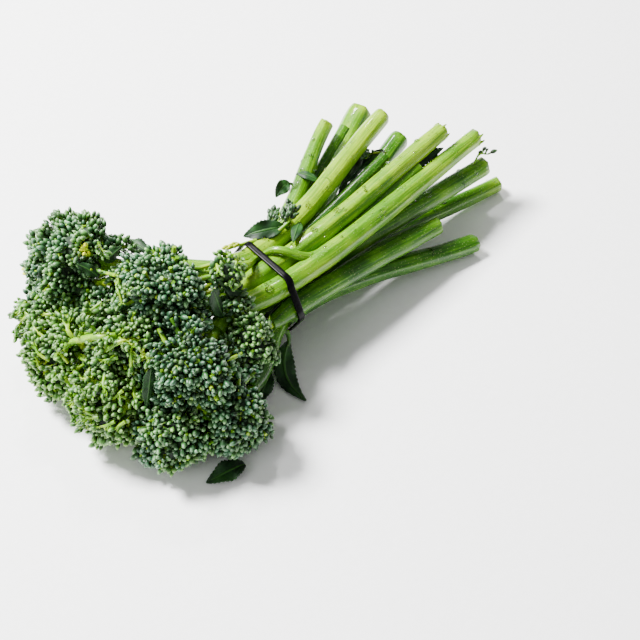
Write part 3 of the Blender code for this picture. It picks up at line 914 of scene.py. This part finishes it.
def stem_radii(name, route):
    """The stem's radius at each point: from the cut to the band, then slimmer up to the head."""
    cut_radius, top_radius = STALKS[name][1], HEADS[name].neck_radius
    x = route[:, 0]
    to_cut = np.clip(x / STALKS[name][0][0], 0, 1)
    to_head = np.clip(x / route[-1][0], 0, 1)
    return np.where(
        x > 0,
        STEM_RADIUS_AT_BAND + (cut_radius - STEM_RADIUS_AT_BAND) * to_cut,
        STEM_RADIUS_AT_BAND + (top_radius - STEM_RADIUS_AT_BAND) * to_head,
    )


HEADS, ROUTES = plan_bunch()
RADII = {name: stem_radii(name, route) for name, route in ROUTES.items()}

# ---------------------------------------------------------------- stems


def make_stems():
    """Each stem is a ridged tube, closed by a slanted and slightly ragged cut."""
    rng = np.random.default_rng(11)
    for name, route in ROUTES.items():
        radii = RADII[name] * (1 + 0.02 * np.sin(np.arange(len(route)) * 0.55 + float(rng.uniform(0, 6))))
        end = unit(route[0] - route[1])
        # The cut face is a few narrowing rings, close together past the end.
        shares = [0.03, 0.3, 0.6, 0.9, 0.97]
        face = [route[0] + end * (0.1 + 0.02 * i) for i in reversed(range(len(shares)))]
        points = np.concatenate([face, route])
        radii = np.concatenate([radii[0] * np.array(shares), radii])
        cut = np.zeros(len(points))
        cut[: len(shares) - 1] = 1.0
        pale = np.exp(-np.linalg.norm(points - route[0], axis=1) / PALE_END_LENGTH)
        tint = STEM_TINT[name] + PALE_END_TINT * pale
        lines = [{"points": points, "radii": radii, "tint": tint, "cut": cut}]
        if name == "7":
            shoot = HEADS["shoot"]
            ends = [shoot.base - shoot.axis * 3, shoot.base + shoot.axis * 1.5]
            fork = smooth_line([*FORK_ROUTE, *ends], 40)
            radii = np.interp(np.linspace(0, 1, 40), np.linspace(0, 1, len(FORK_RADII)), FORK_RADII)
            lines.append({"points": fork, "radii": radii, "tint": STEM_TINT[name]})
        stem = grow_lines(f"stalk_{name}", lines, 36, int(rng.integers(5, 8)), 0.03, "stem")
        slant_cut(stem, route[0], end, rng)
        finish_piece(stem, "stem", f"stem_{name}")


def slant_cut(stem, tip, end, rng):
    """Tilts the cut face, draws it back a little and roughens its rim."""
    mesh = stem.data
    places = np.zeros(len(mesh.vertices) * 3)
    mesh.vertices.foreach_get("co", places)
    places = places.reshape(-1, 3)
    tip = metres([tip])[0]
    depth = (places - tip) @ end
    aside = places - tip - depth[:, None] * end
    way = unit(np.cross(end, rng.normal(size=3)))
    near = np.clip(1 + depth / CUT_REACH, 0, 1) ** 2 * (np.linalg.norm(places - tip, axis=1) < 0.02)
    shift = (aside @ way) * rng.uniform(0.12, 0.3) * near
    shift += rng.normal(size=len(places)) * CUT_RAGGED * (near > 0.8)
    mesh.vertices.foreach_set("co", (places + end * (shift - CUT_DRAWN_BACK * near)[:, None]).ravel())


def frame_along(route, i):
    """The stem's direction at a point of its route, and two directions across it, the first one upwards."""
    along = unit(route[min(i + 1, len(route) - 1)] - route[max(i - 1, 0)])
    up = unit(np.array([0, 0, 1.0]) - along * along[2])
    return along, up, np.cross(along, up)


def make_scars():
    """Raised crescents where leaves have been picked off the stems, and a dark ring round the first stem."""
    rng = np.random.default_rng(17)
    lines = []
    radii = 0.1 + 0.18 * np.sin(np.linspace(0.15, math.pi - 0.15, 17))
    for name, route in ROUTES.items():
        i = rng.choice(np.arange(5, 36), 1, replace=False)[0]
        along, up, side = frame_along(route, i)
        turn, reach = rng.uniform(-1.4, 1.4), rng.uniform(0.35, 0.7)
        if name == "1":
            i, turn, reach = 15, 0.0, math.pi
        angles = np.linspace(turn - reach, turn + reach, 17)
        bow = 0.5 * np.sin(angles) if name == "1" else 1.3 * np.cos((angles - turn) / reach * math.pi / 2)
        around = up * np.cos(angles)[:, None] + side * np.sin(angles)[:, None]
        points = route[i] + around * RADII[name][i] - along * bow[:, None]
        tint = 0.0 if name == "1" else STEM_TINT[name] - 0.1
        lines.append({"points": points, "radii": radii, "tint": tint})
    finish_piece(grow_lines("leaf_scars", lines, 8, 2, 0.0, "stem"), "stem")


def make_droplets():
    """Beads of water that stand on the stems' upper sides."""
    rng = np.random.default_rng(29)
    places, facings, sizes = [], [], []
    for name in ("1", "2", "3", "5", "6", "7", "8", "9"):
        route = ROUTES[name]
        for _ in range(DROPS_PER_STEM):
            share = rng.uniform(1, 46)
            i, rest = int(share), share % 1
            _, up, side = frame_along(route, i)
            turn = rng.normal() * 0.75
            way = up * math.cos(turn) + side * math.sin(turn)
            middle = route[i] * (1 - rest) + route[i + 1] * rest
            places.append(middle + way * RADII[name][i] * 0.985)
            facings.append(way)
            fine, middling, large = rng.uniform(0.22, 0.5), rng.uniform(0.6, 1.05), rng.uniform(1.2, 1.75)
            sizes.append(rng.choice([fine, middling, large], p=[0.82, 0.12, 0.06]))
    profile = [(0, -0.3, 0), (0.95, -0.3, 0), (1.0, 0.0, 0), (0.86, 0.36, 0), (0.5, 0.6, 0), (0, 0.7, 0)]
    bead = lathe("bead", profile, 12)
    values = {"facing": facings, "size": np.array(sizes) * MM}
    finish_piece(stand_copies("water_beads", places, values, bead, 4, "water"), "stem")
    bpy.data.objects.remove(bead)


# ---------------------------------------------------------------- heads


def new_piece(name, bm, material=None):
    """The finished bmesh as an object of the scene."""
    mesh = bpy.data.meshes.new(name)
    bm.to_mesh(mesh)
    bm.free()
    if material:
        mesh.materials.append(MATERIALS[material])
    obj = bpy.data.objects.new(name, mesh)
    bpy.context.scene.collection.objects.link(obj)
    return obj


def lathe(name, profile, sides):
    """A closed turned shape from rings of radius, height and the tip attribute."""
    bm = bmesh.new()
    tip = bm.verts.layers.float.new("tip")
    rings = []
    for radius, height, share in profile:
        if radius == 0:
            vert = bm.verts.new((0, 0, height))
            vert[tip] = share
            rings.append([vert])
            continue
        ring = []
        for i in range(sides):
            angle = 2 * math.pi * i / sides
            vert = bm.verts.new((radius * math.cos(angle), radius * math.sin(angle), height))
            vert[tip] = share
            ring.append(vert)
        rings.append(ring)
    for below, above in zip(rings, rings[1:]):
        for i in range(sides):
            j = (i + 1) % sides
            if len(above) == 1:
                bm.faces.new((below[i], below[j], above[0]))
            elif len(below) == 1:
                bm.faces.new((below[0], above[j], above[i]))
            else:
                bm.faces.new((below[i], below[j], above[j], above[i]))
    return new_piece(name, bm)


def bud_shape():
    """One closed bud on its stalk, at its real size: widest below the middle, drawn to a blunt tip."""
    r, h = BUD_RADIUS * MM, BUD_LENGTH * MM
    profile = [
        (0, -1.0 * h, 0.0), (0.3 * r, -0.05 * h, 0.08), (0.86 * r, 0.18 * h, 0.3), (r, 0.45 * h, 0.52),
        (0.76 * r, 0.74 * h, 0.76), (0.3 * r, 0.95 * h, 0.95), (0, h, 1.0),
    ]
    return lathe("bud", profile, 5)


def dome_florets(head, rng):
    """A bumpy layer of florets over a head's dome, and a second one deeper in."""
    area = 2 * math.pi * head.radius**2 * (1 - math.cos(DOME_ANGLE))
    pitch = min(FLORET_PITCH, head.radius * 0.58)
    directions = head.dome(round(area / (pitch**2 * HEX_PACKING)))
    directions = unit(directions + rng.normal(size=directions.shape) * 0.1)
    sizes = min(FLORET_RADIUS, head.radius * 0.34) * rng.uniform(0.76, 1.2, len(directions))
    reach = np.minimum(head.lobed(directions), head.limit(directions, sizes) + sizes)
    reach = head.sunk(directions, reach) - sizes + rng.uniform(-2.4, 0.7, len(directions))
    lean = HEAD_LEAN[head.name]
    middle = np.array(head.centre)
    florets = [
        (head.name, middle + way * length, size, unit(way * (1 - lean) + np.array(head.axis) * lean * 1.2))
        for size, way, length in zip(sizes, directions, reach)
        if length > head.radius * 0.3
    ]
    count = round(area / 40)
    inner = unit(head.dome(count) + rng.normal(size=(count, 3)) * 0.15)
    reach = head.sunk(inner, np.minimum(head.lobed(inner), head.limit(inner, 3.0) + 3.0))
    reach = reach - INNER_FLORET_RADIUS - rng.uniform(3.2, 4.6, count)
    for way, length in zip(inner, reach):
        florets.append((head.name, middle + way * max(length, 0.5), INNER_FLORET_RADIUS, way))
    return florets


def seam_florets(head, other, rng):
    """Looser florets on two rings in the seam between two heads."""
    apart = np.array(other.centre - head.centre)
    distance = np.linalg.norm(apart)
    if distance - head.radius - other.radius > 8:
        return []
    along = apart / distance
    offset = (distance**2 + head.radius**2 - other.radius**2) / (2 * distance)
    ring = math.sqrt(max(head.radius**2 - offset**2, 0))
    across = unit(np.cross(along, [0.31, 0.52, 0.8]))
    up = np.cross(along, across)
    florets = []
    for reach in (max(ring - 2.6, 4.5), max(ring - 8.0, 1.0)):
        count = max(3, round(2 * math.pi * reach / 5.8))
        for k in range(count):
            turn = 2 * math.pi * (k + rng.uniform(-0.25, 0.25)) / count
            way = across * math.cos(turn) + up * math.sin(turn)
            size = rng.uniform(2.4, 3.5)
            place = np.array(head.centre) + along * (offset + rng.uniform(-1.5, 1.5)) + way * reach
            crowded = any(
                np.linalg.norm(place - np.array(third.centre)) < third.radius * 0.8
                for third in HEADS.values() if third not in (head, other)
            )
            if crowded or place[2] < size + 0.8:
                continue
            owner = head if rng.random() < 0.5 or other.name == "shoot" else other
            florets.append((owner.name, place, size, unit(way + rng.normal(size=3) * 0.15)))
    return florets


def plan_florets():
    """Every floret: the names of their heads, their middles, their radii and the ways that they face."""
    rng = np.random.default_rng(7)
    heads = list(HEADS.values())
    florets = [floret for head in heads for floret in dome_florets(head, rng)]
    upward = unit([-0.3, 0.1, 0.9])
    florets += [(name, np.array(place, float), size, upward) for name, place, size in GAP_FLORETS]
    for i, head in enumerate(heads):
        for other in heads[i + 1 :]:
            florets += seam_florets(head, other, rng)
    return tuple(np.array(column) for column in zip(*florets))


def plan_sprays(florets):
    """Bare slanting stalks across some florets of the looser heads: points, and radius at each end."""
    rng = np.random.default_rng(53)
    sprays = []
    for owner, centre, radius, way in zip(*florets):
        if HEAD_TINT[owner] < LOOSE_TINT or centre[2] < 14 or rng.random() > 0.3:
            continue
        aside = unit(np.cross(way, rng.normal(size=3)))
        start = centre + way * radius * 0.2 - aside * radius * 0.95
        end = centre + way * radius * 1.05 + aside * radius * 0.9
        if np.minimum(end - BOX_LOW, BOX_HIGH - end).min() >= 5:
            sprays.append(([start, centre + way * radius * 0.95, end], 0.75, 0.42))
    return sprays


def distance_to_lines(points, lines):
    """How far each point is outside the nearest of these lines."""
    nearest = np.full(len(points), np.inf)
    for line in lines:
        apart = np.linalg.norm(points[:, None] - line["points"][None], axis=2) - line["radii"][None]
        nearest = np.minimum(nearest, apart.min(axis=1))
    return nearest


def floret_buds(i, florets, rng):
    """One floret's buds, less those that would stand in another: tips, facings, tints, owners and shades."""
    owners, centres, radii, ways = florets
    centre, radius, way = centres[i], radii[i], ways[i]
    lowest = math.cos(FLORET_ANGLE)
    across = unit(np.cross(way, [0.3, 0.5, 0.8]))
    up = np.cross(way, across)
    pitch = BUD_PITCH * (1 + 0.5 * max(0.0, HEAD_TINT[owners[i]] - 0.4))
    count = round(2 * math.pi * radius**2 * (1 - lowest) / (pitch**2 * HEX_PACKING))
    k = np.arange(count)
    height = 1 - (k + 0.5) / count * (1 - lowest)
    turn = k * GOLDEN_ANGLE + rng.uniform(0, 6.28)
    ring = (across * np.cos(turn)[:, None] + up * np.sin(turn)[:, None]) * np.sqrt(1 - height**2)[:, None]
    normals = way * height[:, None] + ring
    normals = unit(normals + rng.normal(size=normals.shape) * 0.08)
    places = centre + normals * (radius + rng.uniform(-0.35, 0.35, count))[:, None]
    near = np.linalg.norm(centres - centre, axis=1) < 12
    near[i] = False
    apart = np.linalg.norm(places[:, None] - centres[near][None], axis=2) - radii[near][None]
    kept = apart.min(axis=1) > -1.0 if near.any() else np.ones(count, bool)
    facings = unit(normals * 0.45 + way * 0.55 + rng.normal(size=normals.shape) * 0.24)
    tint = HEAD_TINT[owners[i]] + rng.normal() * 0.16
    # Painted shade: buds low on the floret's sides are painted darker, to half, as if shaded by the buds
    # round them; each floret also takes a random tone.
    shades = np.interp(height, [lowest, 0.1, 0.85], [0.5, 0.78, 1.1])[kept] * rng.uniform(0.78, 1.22)
    return places[kept], facings[kept], np.full(kept.sum(), tint), np.full(kept.sum(), i), shades


def plan_buds(florets, sprays):
    """All the florets' buds, thinned where they crowd, and kept off stems, bare branches and the table."""
    rng = np.random.default_rng(21)
    buds = [floret_buds(i, florets, rng) for i in range(len(florets[0]))]
    tips, facings, tints, owners, shades = (np.concatenate(column) for column in zip(*buds))
    proud = rng.random(len(tips)) < np.where(tints > 0.6, 0.24, 0.07)
    tips = tips + facings * (proud * rng.uniform(0.6, 2.0, len(tips)))[:, None]
    middles = tips - facings * BUD_LENGTH * 0.5
    stems = [{"points": route, "radii": RADII[name]} for name, route in ROUTES.items()]
    inside = distance_to_lines(middles, stems) > BUD_GAP_TO_STEM
    for branches, gap in ((SHOWN_BRANCHES, BUD_GAP_TO_BRANCH), (sprays, BUD_GAP_TO_SPRAY)):
        lines = [tapered(route, 30, start, end) for route, start, end in branches]
        inside &= distance_to_lines(middles, lines) > gap
    for back in (0.0, 0.4, 1.0):
        places = tips - facings * BUD_LENGTH * back
        inside &= (np.minimum(places - BOX_LOW, BOX_HIGH - places) > BOX_MARGIN).all(axis=1)
    tips, facings, tints, owners, shades, middles = (
        column[inside] for column in (tips, facings, tints, owners, shades, middles)
    )
    tree = KDTree(len(middles))
    for i, middle in enumerate(middles):
        tree.insert(middle, i)
    tree.balance()
    kept = np.ones(len(middles), bool)
    for i in rng.permutation(len(middles)):
        if kept[i]:
            crowd = [j for _, j, _ in tree.find_range(middles[i], BUD_APART) if j != i]
            kept[crowd] = False
    for place, reach in RIPE_SPOTS:
        near = np.linalg.norm(tips - np.array(place), axis=1) < reach
        tints[near] = RIPE
        shades[near] = RIPE_SHADE
    # Painted shade: buds in and near each dip are painted up to 60% darker, as the shade that falls in the
    # hollow.
    for spot, width, _ in DIPS:
        apart = np.linalg.norm(tips - np.array(spot), axis=1)
        shades *= 1 - 0.6 * np.exp(-((apart / width) ** 2))
    return tips[kept], facings[kept], tints[kept], owners[kept], shades[kept]


def make_head(name, bud, florets, buds):
    """A head's buds, its branches and the middle behind them, coloured with painted shade."""
    rng = np.random.default_rng(len(name) * 31 + ord(name[-1]))
    head = HEADS[name]
    own = florets[0] == name
    tips, facings, tints, _, shades = (column[own[buds[3]]] for column in buds)
    sizes = rng.uniform(0.72, 1.24, len(tips))
    tints = np.where(tints > 1.5, RIPE, np.clip(tints + rng.normal(size=len(tips)) * 0.13, 0, 1))
    shades = shades * rng.uniform(0.75, 1.25, len(tips))
    bases = tips - facings * BUD_LENGTH * sizes[:, None]
    columns = {"facing": facings, "size": sizes, "tint": tints, "shade": shades}
    made = stand_copies(f"buds_{name}", bases, columns, bud, 3, "bud")
    finish_piece(made, "head", "side_shoot" if name == "shoot" else f"head_{name}")
    make_core(head)
    make_branches(head, florets[1][own], florets[2][own], florets[3][own])


def make_core(head):
    """The dark middle, coloured with painted shade, which closes the view between the buds."""
    bm = bmesh.new()
    bmesh.ops.create_icosphere(bm, subdivisions=4, radius=1)
    directions = unit([tuple(v.co) for v in bm.verts])
    depth = min(CORE_DEPTH, head.radius * 0.34)
    reach = head.sunk(directions, np.minimum(head.lobed(directions), head.limit(directions, 0.6))) - depth
    behind = directions @ np.array(head.axis) < math.cos(DOME_ANGLE)
    reach = np.where(behind, np.minimum(reach, head.radius * 0.5), reach)
    places = metres(np.array(head.centre) + directions * np.maximum(reach, 2.0)[:, None])
    for vert, place in zip(bm.verts, places):
        vert.co = place
    for face in bm.faces:
        face.smooth = True
    finish_piece(new_piece(f"inner_{head.name}", bm, "core"), "head")


def make_branches(head, centres, radii, directions):
    """Branches fan out of the stem's top to the lobes, and from there to every floret."""
    base = np.array(head.base)
    axis = np.array(head.axis)
    middle = np.array(head.centre)
    top = head.neck_radius
    lines = []
    reach = np.minimum(head.lobed(head.lobes), head.limit(head.lobes, 1.0))
    hubs = middle + head.lobes * (reach * 0.45)[:, None]
    for hub in hubs:
        start = base - axis * 1.5
        bend = start + axis * head.radius * 0.45 + (hub - middle) * 0.18
        lines.append(tapered([start, bend, hub], 9, top * 0.62, top * 0.42, 0.6))
    for centre, radius, direction in zip(centres, radii, directions):
        hub = hubs[np.argmin(np.linalg.norm(hubs - centre, axis=1))]
        bend = (hub + centre) / 2 - direction * 0.8
        end = centre + direction * radius * 0.35
        line = tapered([hub, bend, end], 4, top * 0.34, top * 0.2, 0.6)
        line["points"] = np.clip(line["points"], BOX_LOW + 1.2, BOX_HIGH - 1.2)
        lines.append(line)
    finish_piece(grow_lines(f"branches_{head.name}", lines, 6, 3, 0.04, "branch"), "head")


def make_shown_branches(bud, sprays):
    """The bare branches between the buds and the sprigs on the stems, with their sprouts."""
    rng = np.random.default_rng(5)
    lines, buds = [], []
    for route, start, end in SHOWN_BRANCHES:
        line = tapered(route, 16, start, end)
        line["radii"] *= rng.uniform(0.85, 1.15, 16)
        lines.append(line)
        sprout(lines, buds, line["points"][4:], 9, nearest_head(line["points"][8]), 0.85, rng)
    for route, start, end in sprays:
        line = tapered(route, 10, start, end)
        lines.append(line)
        sprout(lines, buds, line["points"][3:], 4, nearest_head(line["points"][5]), 0.9, rng)
    for route, start, end, count, tint in SPRIGS:
        line = tapered(route, 12, start, end)
        lines.append(line)
        sprout(lines, buds, line["points"][5:], count, line["points"][0] - [0, 0, 6], tint, rng)
    finish_piece(grow_lines("bare_branches", lines, 8, 4, 0.06, "branch"), "head")
    tips, facings, tints = (np.array(column) for column in zip(*buds))
    sizes = rng.uniform(0.6, 1.0, len(tips))
    shades = rng.uniform(0.75, 1.25, len(tips)) * np.where(tints < 0.6, 0.55, 1.0)
    columns = {"facing": facings, "size": sizes, "tint": tints, "shade": shades}
    bases = tips - facings * (0.3 * BUD_LENGTH * sizes)[:, None]
    finish_piece(stand_copies("sprig_buds", bases, columns, bud, 9, "bud"), "head")


def make_petioles():
    """Leaf stalks low between the stems and from a stem to each leaf, and shreds at two cut ends."""
    rng = np.random.default_rng(41)
    lines = [tapered(route, 20, start, end, tint) for route, start, end, tint in PETIOLES]
    stems = np.concatenate(list(ROUTES.values()))
    for base, middle, _, width, *_ in LEAVES.values():
        base = np.array(base, float)
        root = stems[np.argmin(np.linalg.norm(stems - base, axis=1))]
        if np.linalg.norm(root - base) < 9.6:
            bend = root * 0.35 + base * 0.65 - (np.array(middle) - base) * 0.2
            points = [root, bend, base, base + (np.array(middle) - base) * 0.25]
            lines.append(tapered(points, 12, 1.1 * width / 7, 0.35 * width / 7, 0.15))
    for name in ("6", "7"):
        route = ROUTES[name]
        end, up, side = frame_along(route, 0)
        for turn in rng.uniform(0, 2 * math.pi, 3):
            way = up * math.cos(turn) + side * math.sin(turn)
            rim = RADII[name][0] * 0.8
            foot = route[0] + end * 1.5 + way * rim
            tip = route[0] - end * rng.uniform(0.8, 2.2) + way * (rim + rng.uniform(0.1, 0.8))
            lines.append(tapered([foot, (foot + tip) / 2 + way * 0.3, tip], 8, 0.9, 0.25, 1.0))
    finish_piece(grow_lines("petioles", lines, 16, 3, 0.05, "stem"), "stem")


def make_bracts():
    """Small leaves that lie on the heads, a little off the buds."""
    for name, (owner, base, middle, tip, width) in BRACTS.items():
        centre = np.array(HEADS[owner].centre)
        spots = np.array([base, middle, tip])
        base, middle, tip = spots + unit(spots - centre) * BRACT_LIFT
        across = np.cross(unit(middle - centre), unit(tip - base))
        make_leaf(name, (base, middle * 1.02 - (base + tip) * 0.01, tip, width, across, 0.5))


def nearest_head(point):
    """The middle of the head whose surface is nearest to this point."""
    centres = [np.array(head.centre) for head in HEADS.values()]
    radii = [head.radius for head in HEADS.values()]
    return centres[np.argmin(np.abs(np.linalg.norm(point - np.array(centres), axis=1) - radii))]


def sprout(lines, buds, route, count, middle, tint, rng):
    """Thin stalks that leave a branch on all sides but its back, each with a bud on its end.

    A bud is a tip, a facing and a tint.
    """
    for i in range(count):
        foot = route[int((i + 0.5) / count * len(route))]
        along = unit(route[-1] - route[0])
        outward = unit(foot - middle)
        side = np.cross(along, outward) * rng.choice([-1.0, 1.0])
        forward, aside, out = rng.uniform(0.2, 0.9), rng.uniform(0.1, 1.0), rng.uniform(0.2, 0.9)
        way = unit(along * forward + side * aside + outward * out)
        length = rng.uniform(1.6, 3.4)
        bend = foot + way * length * 0.5 + along * 0.3
        end = foot + way * length
        lines.append(tapered([foot, bend, end], 5, 0.42, 0.3))
        buds.append((end, unit(way + along * 0.4), tint))


# ---------------------------------------------------------------- leaves, band and water


def make_leaf(name, shape, *nodes):
    """A thin arched blade with a toothed and waved edge and a raised midrib."""
    base, middle, tip, width, across, wave = shape
    base, middle, tip = (np.array(p, float) for p in (base, middle, tip))
    across = unit(across)
    bm = bmesh.new()
    across_layer = bm.verts.layers.float.new("across")
    along_layer = bm.verts.layers.float.new("along")
    grid = []
    for i in range(LEAF_ROWS):
        share = i / (LEAF_ROWS - 1)
        place = (1 - share) ** 2 * base + 2 * share * (1 - share) * middle + share**2 * tip
        along = unit((1 - share) * (middle - base) + share * (tip - middle))
        normal = unit(np.cross(across, along))
        side = np.cross(along, normal)
        half = width / 2 * (0.14 + 0.86 * math.sin(math.pi * min(1, share**0.85 + 0.02)))
        half *= 1 + 0.07 * math.sin(i * 2.1)
        if i == LEAF_ROWS - 1:
            half = width * 0.03
        row = []
        for j in range(LEAF_COLUMNS):
            u = j / (LEAF_COLUMNS - 1) * 2 - 1
            cup = 0.16 * half * u * u
            ripple = wave * u * u * math.sin(share * 13 + u * 1.2) * half * 2 / width
            rise = cup + ripple - 0.25 * math.exp(-((u / 0.12) ** 2))
            spot = np.clip(place + side * half * u + normal * rise, BOX_LOW + 0.3, BOX_HIGH - 0.3)
            vert = bm.verts.new(metres([spot])[0])
            vert[across_layer] = u
            vert[along_layer] = share
            row.append(vert)
        grid.append(row)
    for before, after in zip(grid, grid[1:]):
        for j in range(LEAF_COLUMNS - 1):
            face = bm.faces.new((before[j], before[j + 1], after[j + 1], after[j]))
            face.smooth = True
    leaf = new_piece(f"blade_{name}", bm, "leaf")
    shell = leaf.modifiers.new("thickness", "SOLIDIFY")
    shell.thickness = LEAF_THICKNESS * MM
    shell.offset = 0
    finish_piece(leaf, "leaf", *nodes)


def band_outline(offset):
    """The stack's outline with rounded corners, this far outside the middles of its outer stems."""
    points = [Vector((p.y, p.z)) for p in (slot_point(stalk[2]) for stalk in STALKS.values())]
    corner = min(points, key=lambda p: (p.y, p.x))
    hull = [corner]
    heading = Vector((1, 0))
    while True:
        here = hull[-1]
        others = [p for p in points if (p - here).length > 1e-6]
        nearest = min(others, key=lambda p: (round(heading.angle(p - here), 6), -(p - here).length))
        heading = nearest - here
        if (nearest - corner).length < 1e-6:
            break
        hull.append(nearest)
    outline = []
    for i, point in enumerate(hull):
        before = point - hull[i - 1]
        after = hull[(i + 1) % len(hull)] - point
        start = math.atan2(before.y, before.x) - math.pi / 2
        turn = (math.atan2(after.y, after.x) - math.atan2(before.y, before.x)) % (2 * math.pi)
        steps = max(2, round(turn / math.radians(5)))
        for step in range(steps + 1):
            angle = start + turn * step / steps
            outline.append(point + Vector((math.cos(angle), math.sin(angle))) * offset)
    return outline


def make_band():
    """A flat rubber band with rounded edges, stretched round the stems and of slightly uneven width."""
    outline = band_outline(BAND_OFFSET + BAND_THICKNESS / 2)
    middle = sum(outline, Vector((0, 0))) / len(outline)
    bm = bmesh.new()
    rings = []
    for i, point in enumerate(outline):
        before, after = outline[i - 1], outline[(i + 1) % len(outline)]
        way = (after - before).normalized()
        out = Vector((way.y, -way.x))
        if out.dot(point - middle) < 0:
            out = -out
        share = 2 * math.pi * i / len(outline)
        drift = 0.35 * math.sin(share * 2 + 0.7) + 0.15 * math.sin(share * 5)
        half_width = BAND_WIDTH / 2 * (1 + 0.06 * math.sin(share * 3 + 1))
        half_thick = BAND_THICKNESS / 2
        ring = []
        for k in range(BAND_SIDES):
            angle = 2 * math.pi * k / BAND_SIDES
            c, s = math.cos(angle), math.sin(angle)
            x = half_width * math.copysign(abs(c) ** 0.45, c)
            y = half_thick * math.copysign(abs(s) ** 0.6, s)
            spot = point + out * y
            ring.append(bm.verts.new(metres([(x + drift, spot.x, spot.y)])[0]))
        rings.append(ring)
    for i, ring in enumerate(rings):
        following = rings[(i + 1) % len(rings)]
        for k in range(BAND_SIDES):
            j = (k + 1) % BAND_SIDES
            face = bm.faces.new((ring[k], ring[j], following[j], following[k]))
            face.smooth = True
    bmesh.ops.recalc_face_normals(bm, faces=bm.faces)
    finish_piece(new_piece("rubber_band", bm, "band"), "band", "band")


# ---------------------------------------------------------------- floor, light and camera


def make_studio():
    """A pale board under the bunch, even light from all round, and the lamps."""
    bpy.ops.mesh.primitive_plane_add(size=6, location=(0, 0, -0.0002))
    floor = bpy.context.object
    floor.name = "studio_floor"
    floor.data.materials.append(floor_material())
    world = bpy.data.worlds.new("studio_air")
    world.use_nodes = True
    world.node_tree.nodes["Background"].inputs["Color"].default_value = (1, 1, 1, 1)
    world.node_tree.nodes["Background"].inputs["Strength"].default_value = AIR_STRENGTH
    bpy.context.scene.world = world
    for name, (place, size, power) in LAMPS.items():
        lamp = bpy.data.lights.new(name, "AREA")
        lamp.size = size
        lamp.energy = power
        obj = bpy.data.objects.new(name, lamp)
        obj.location = place
        obj.rotation_euler = Vector(place).to_track_quat("Z", "Y").to_euler()
        bpy.context.scene.collection.objects.link(obj)


def make_camera():
    """A camera that sees the bunch from the photograph's side, through a long lens."""
    azimuth, elevation = math.radians(CAMERA_AZIMUTH), math.radians(CAMERA_ELEVATION)
    target = (CAMERA_TARGET - BOX_CENTRE) * MM
    level = math.cos(elevation)
    back = Vector((math.sin(azimuth) * level, -math.cos(azimuth) * level, math.sin(elevation)))
    data = bpy.data.cameras.new("camera")
    data.lens = CAMERA_LENS
    data.sensor_width = CAMERA_SENSOR
    camera = bpy.data.objects.new("camera", data)
    camera.location = target + back * CAMERA_DISTANCE
    camera.rotation_euler = back.to_track_quat("Z", "Y").to_euler()
    bpy.context.scene.collection.objects.link(camera)
    bpy.context.scene.camera = camera


make_stems()
all_florets = plan_florets()
all_sprays = plan_sprays(all_florets)
all_buds = plan_buds(all_florets, all_sprays)
one_bud = bud_shape()
for head_name in HEADS:
    make_head(head_name, one_bud, all_florets, all_buds)
make_shown_branches(one_bud, all_sprays)
bpy.data.objects.remove(one_bud)
make_scars()
make_droplets()
make_petioles()
for leaf_name, leaf_shape in LEAVES.items():
    make_leaf(leaf_name, leaf_shape, leaf_name)
for leaf_name, leaf_shape in STRAY_LEAVES.items():
    make_leaf(leaf_name, leaf_shape)
make_bracts()
make_band()
make_studio()
make_camera()
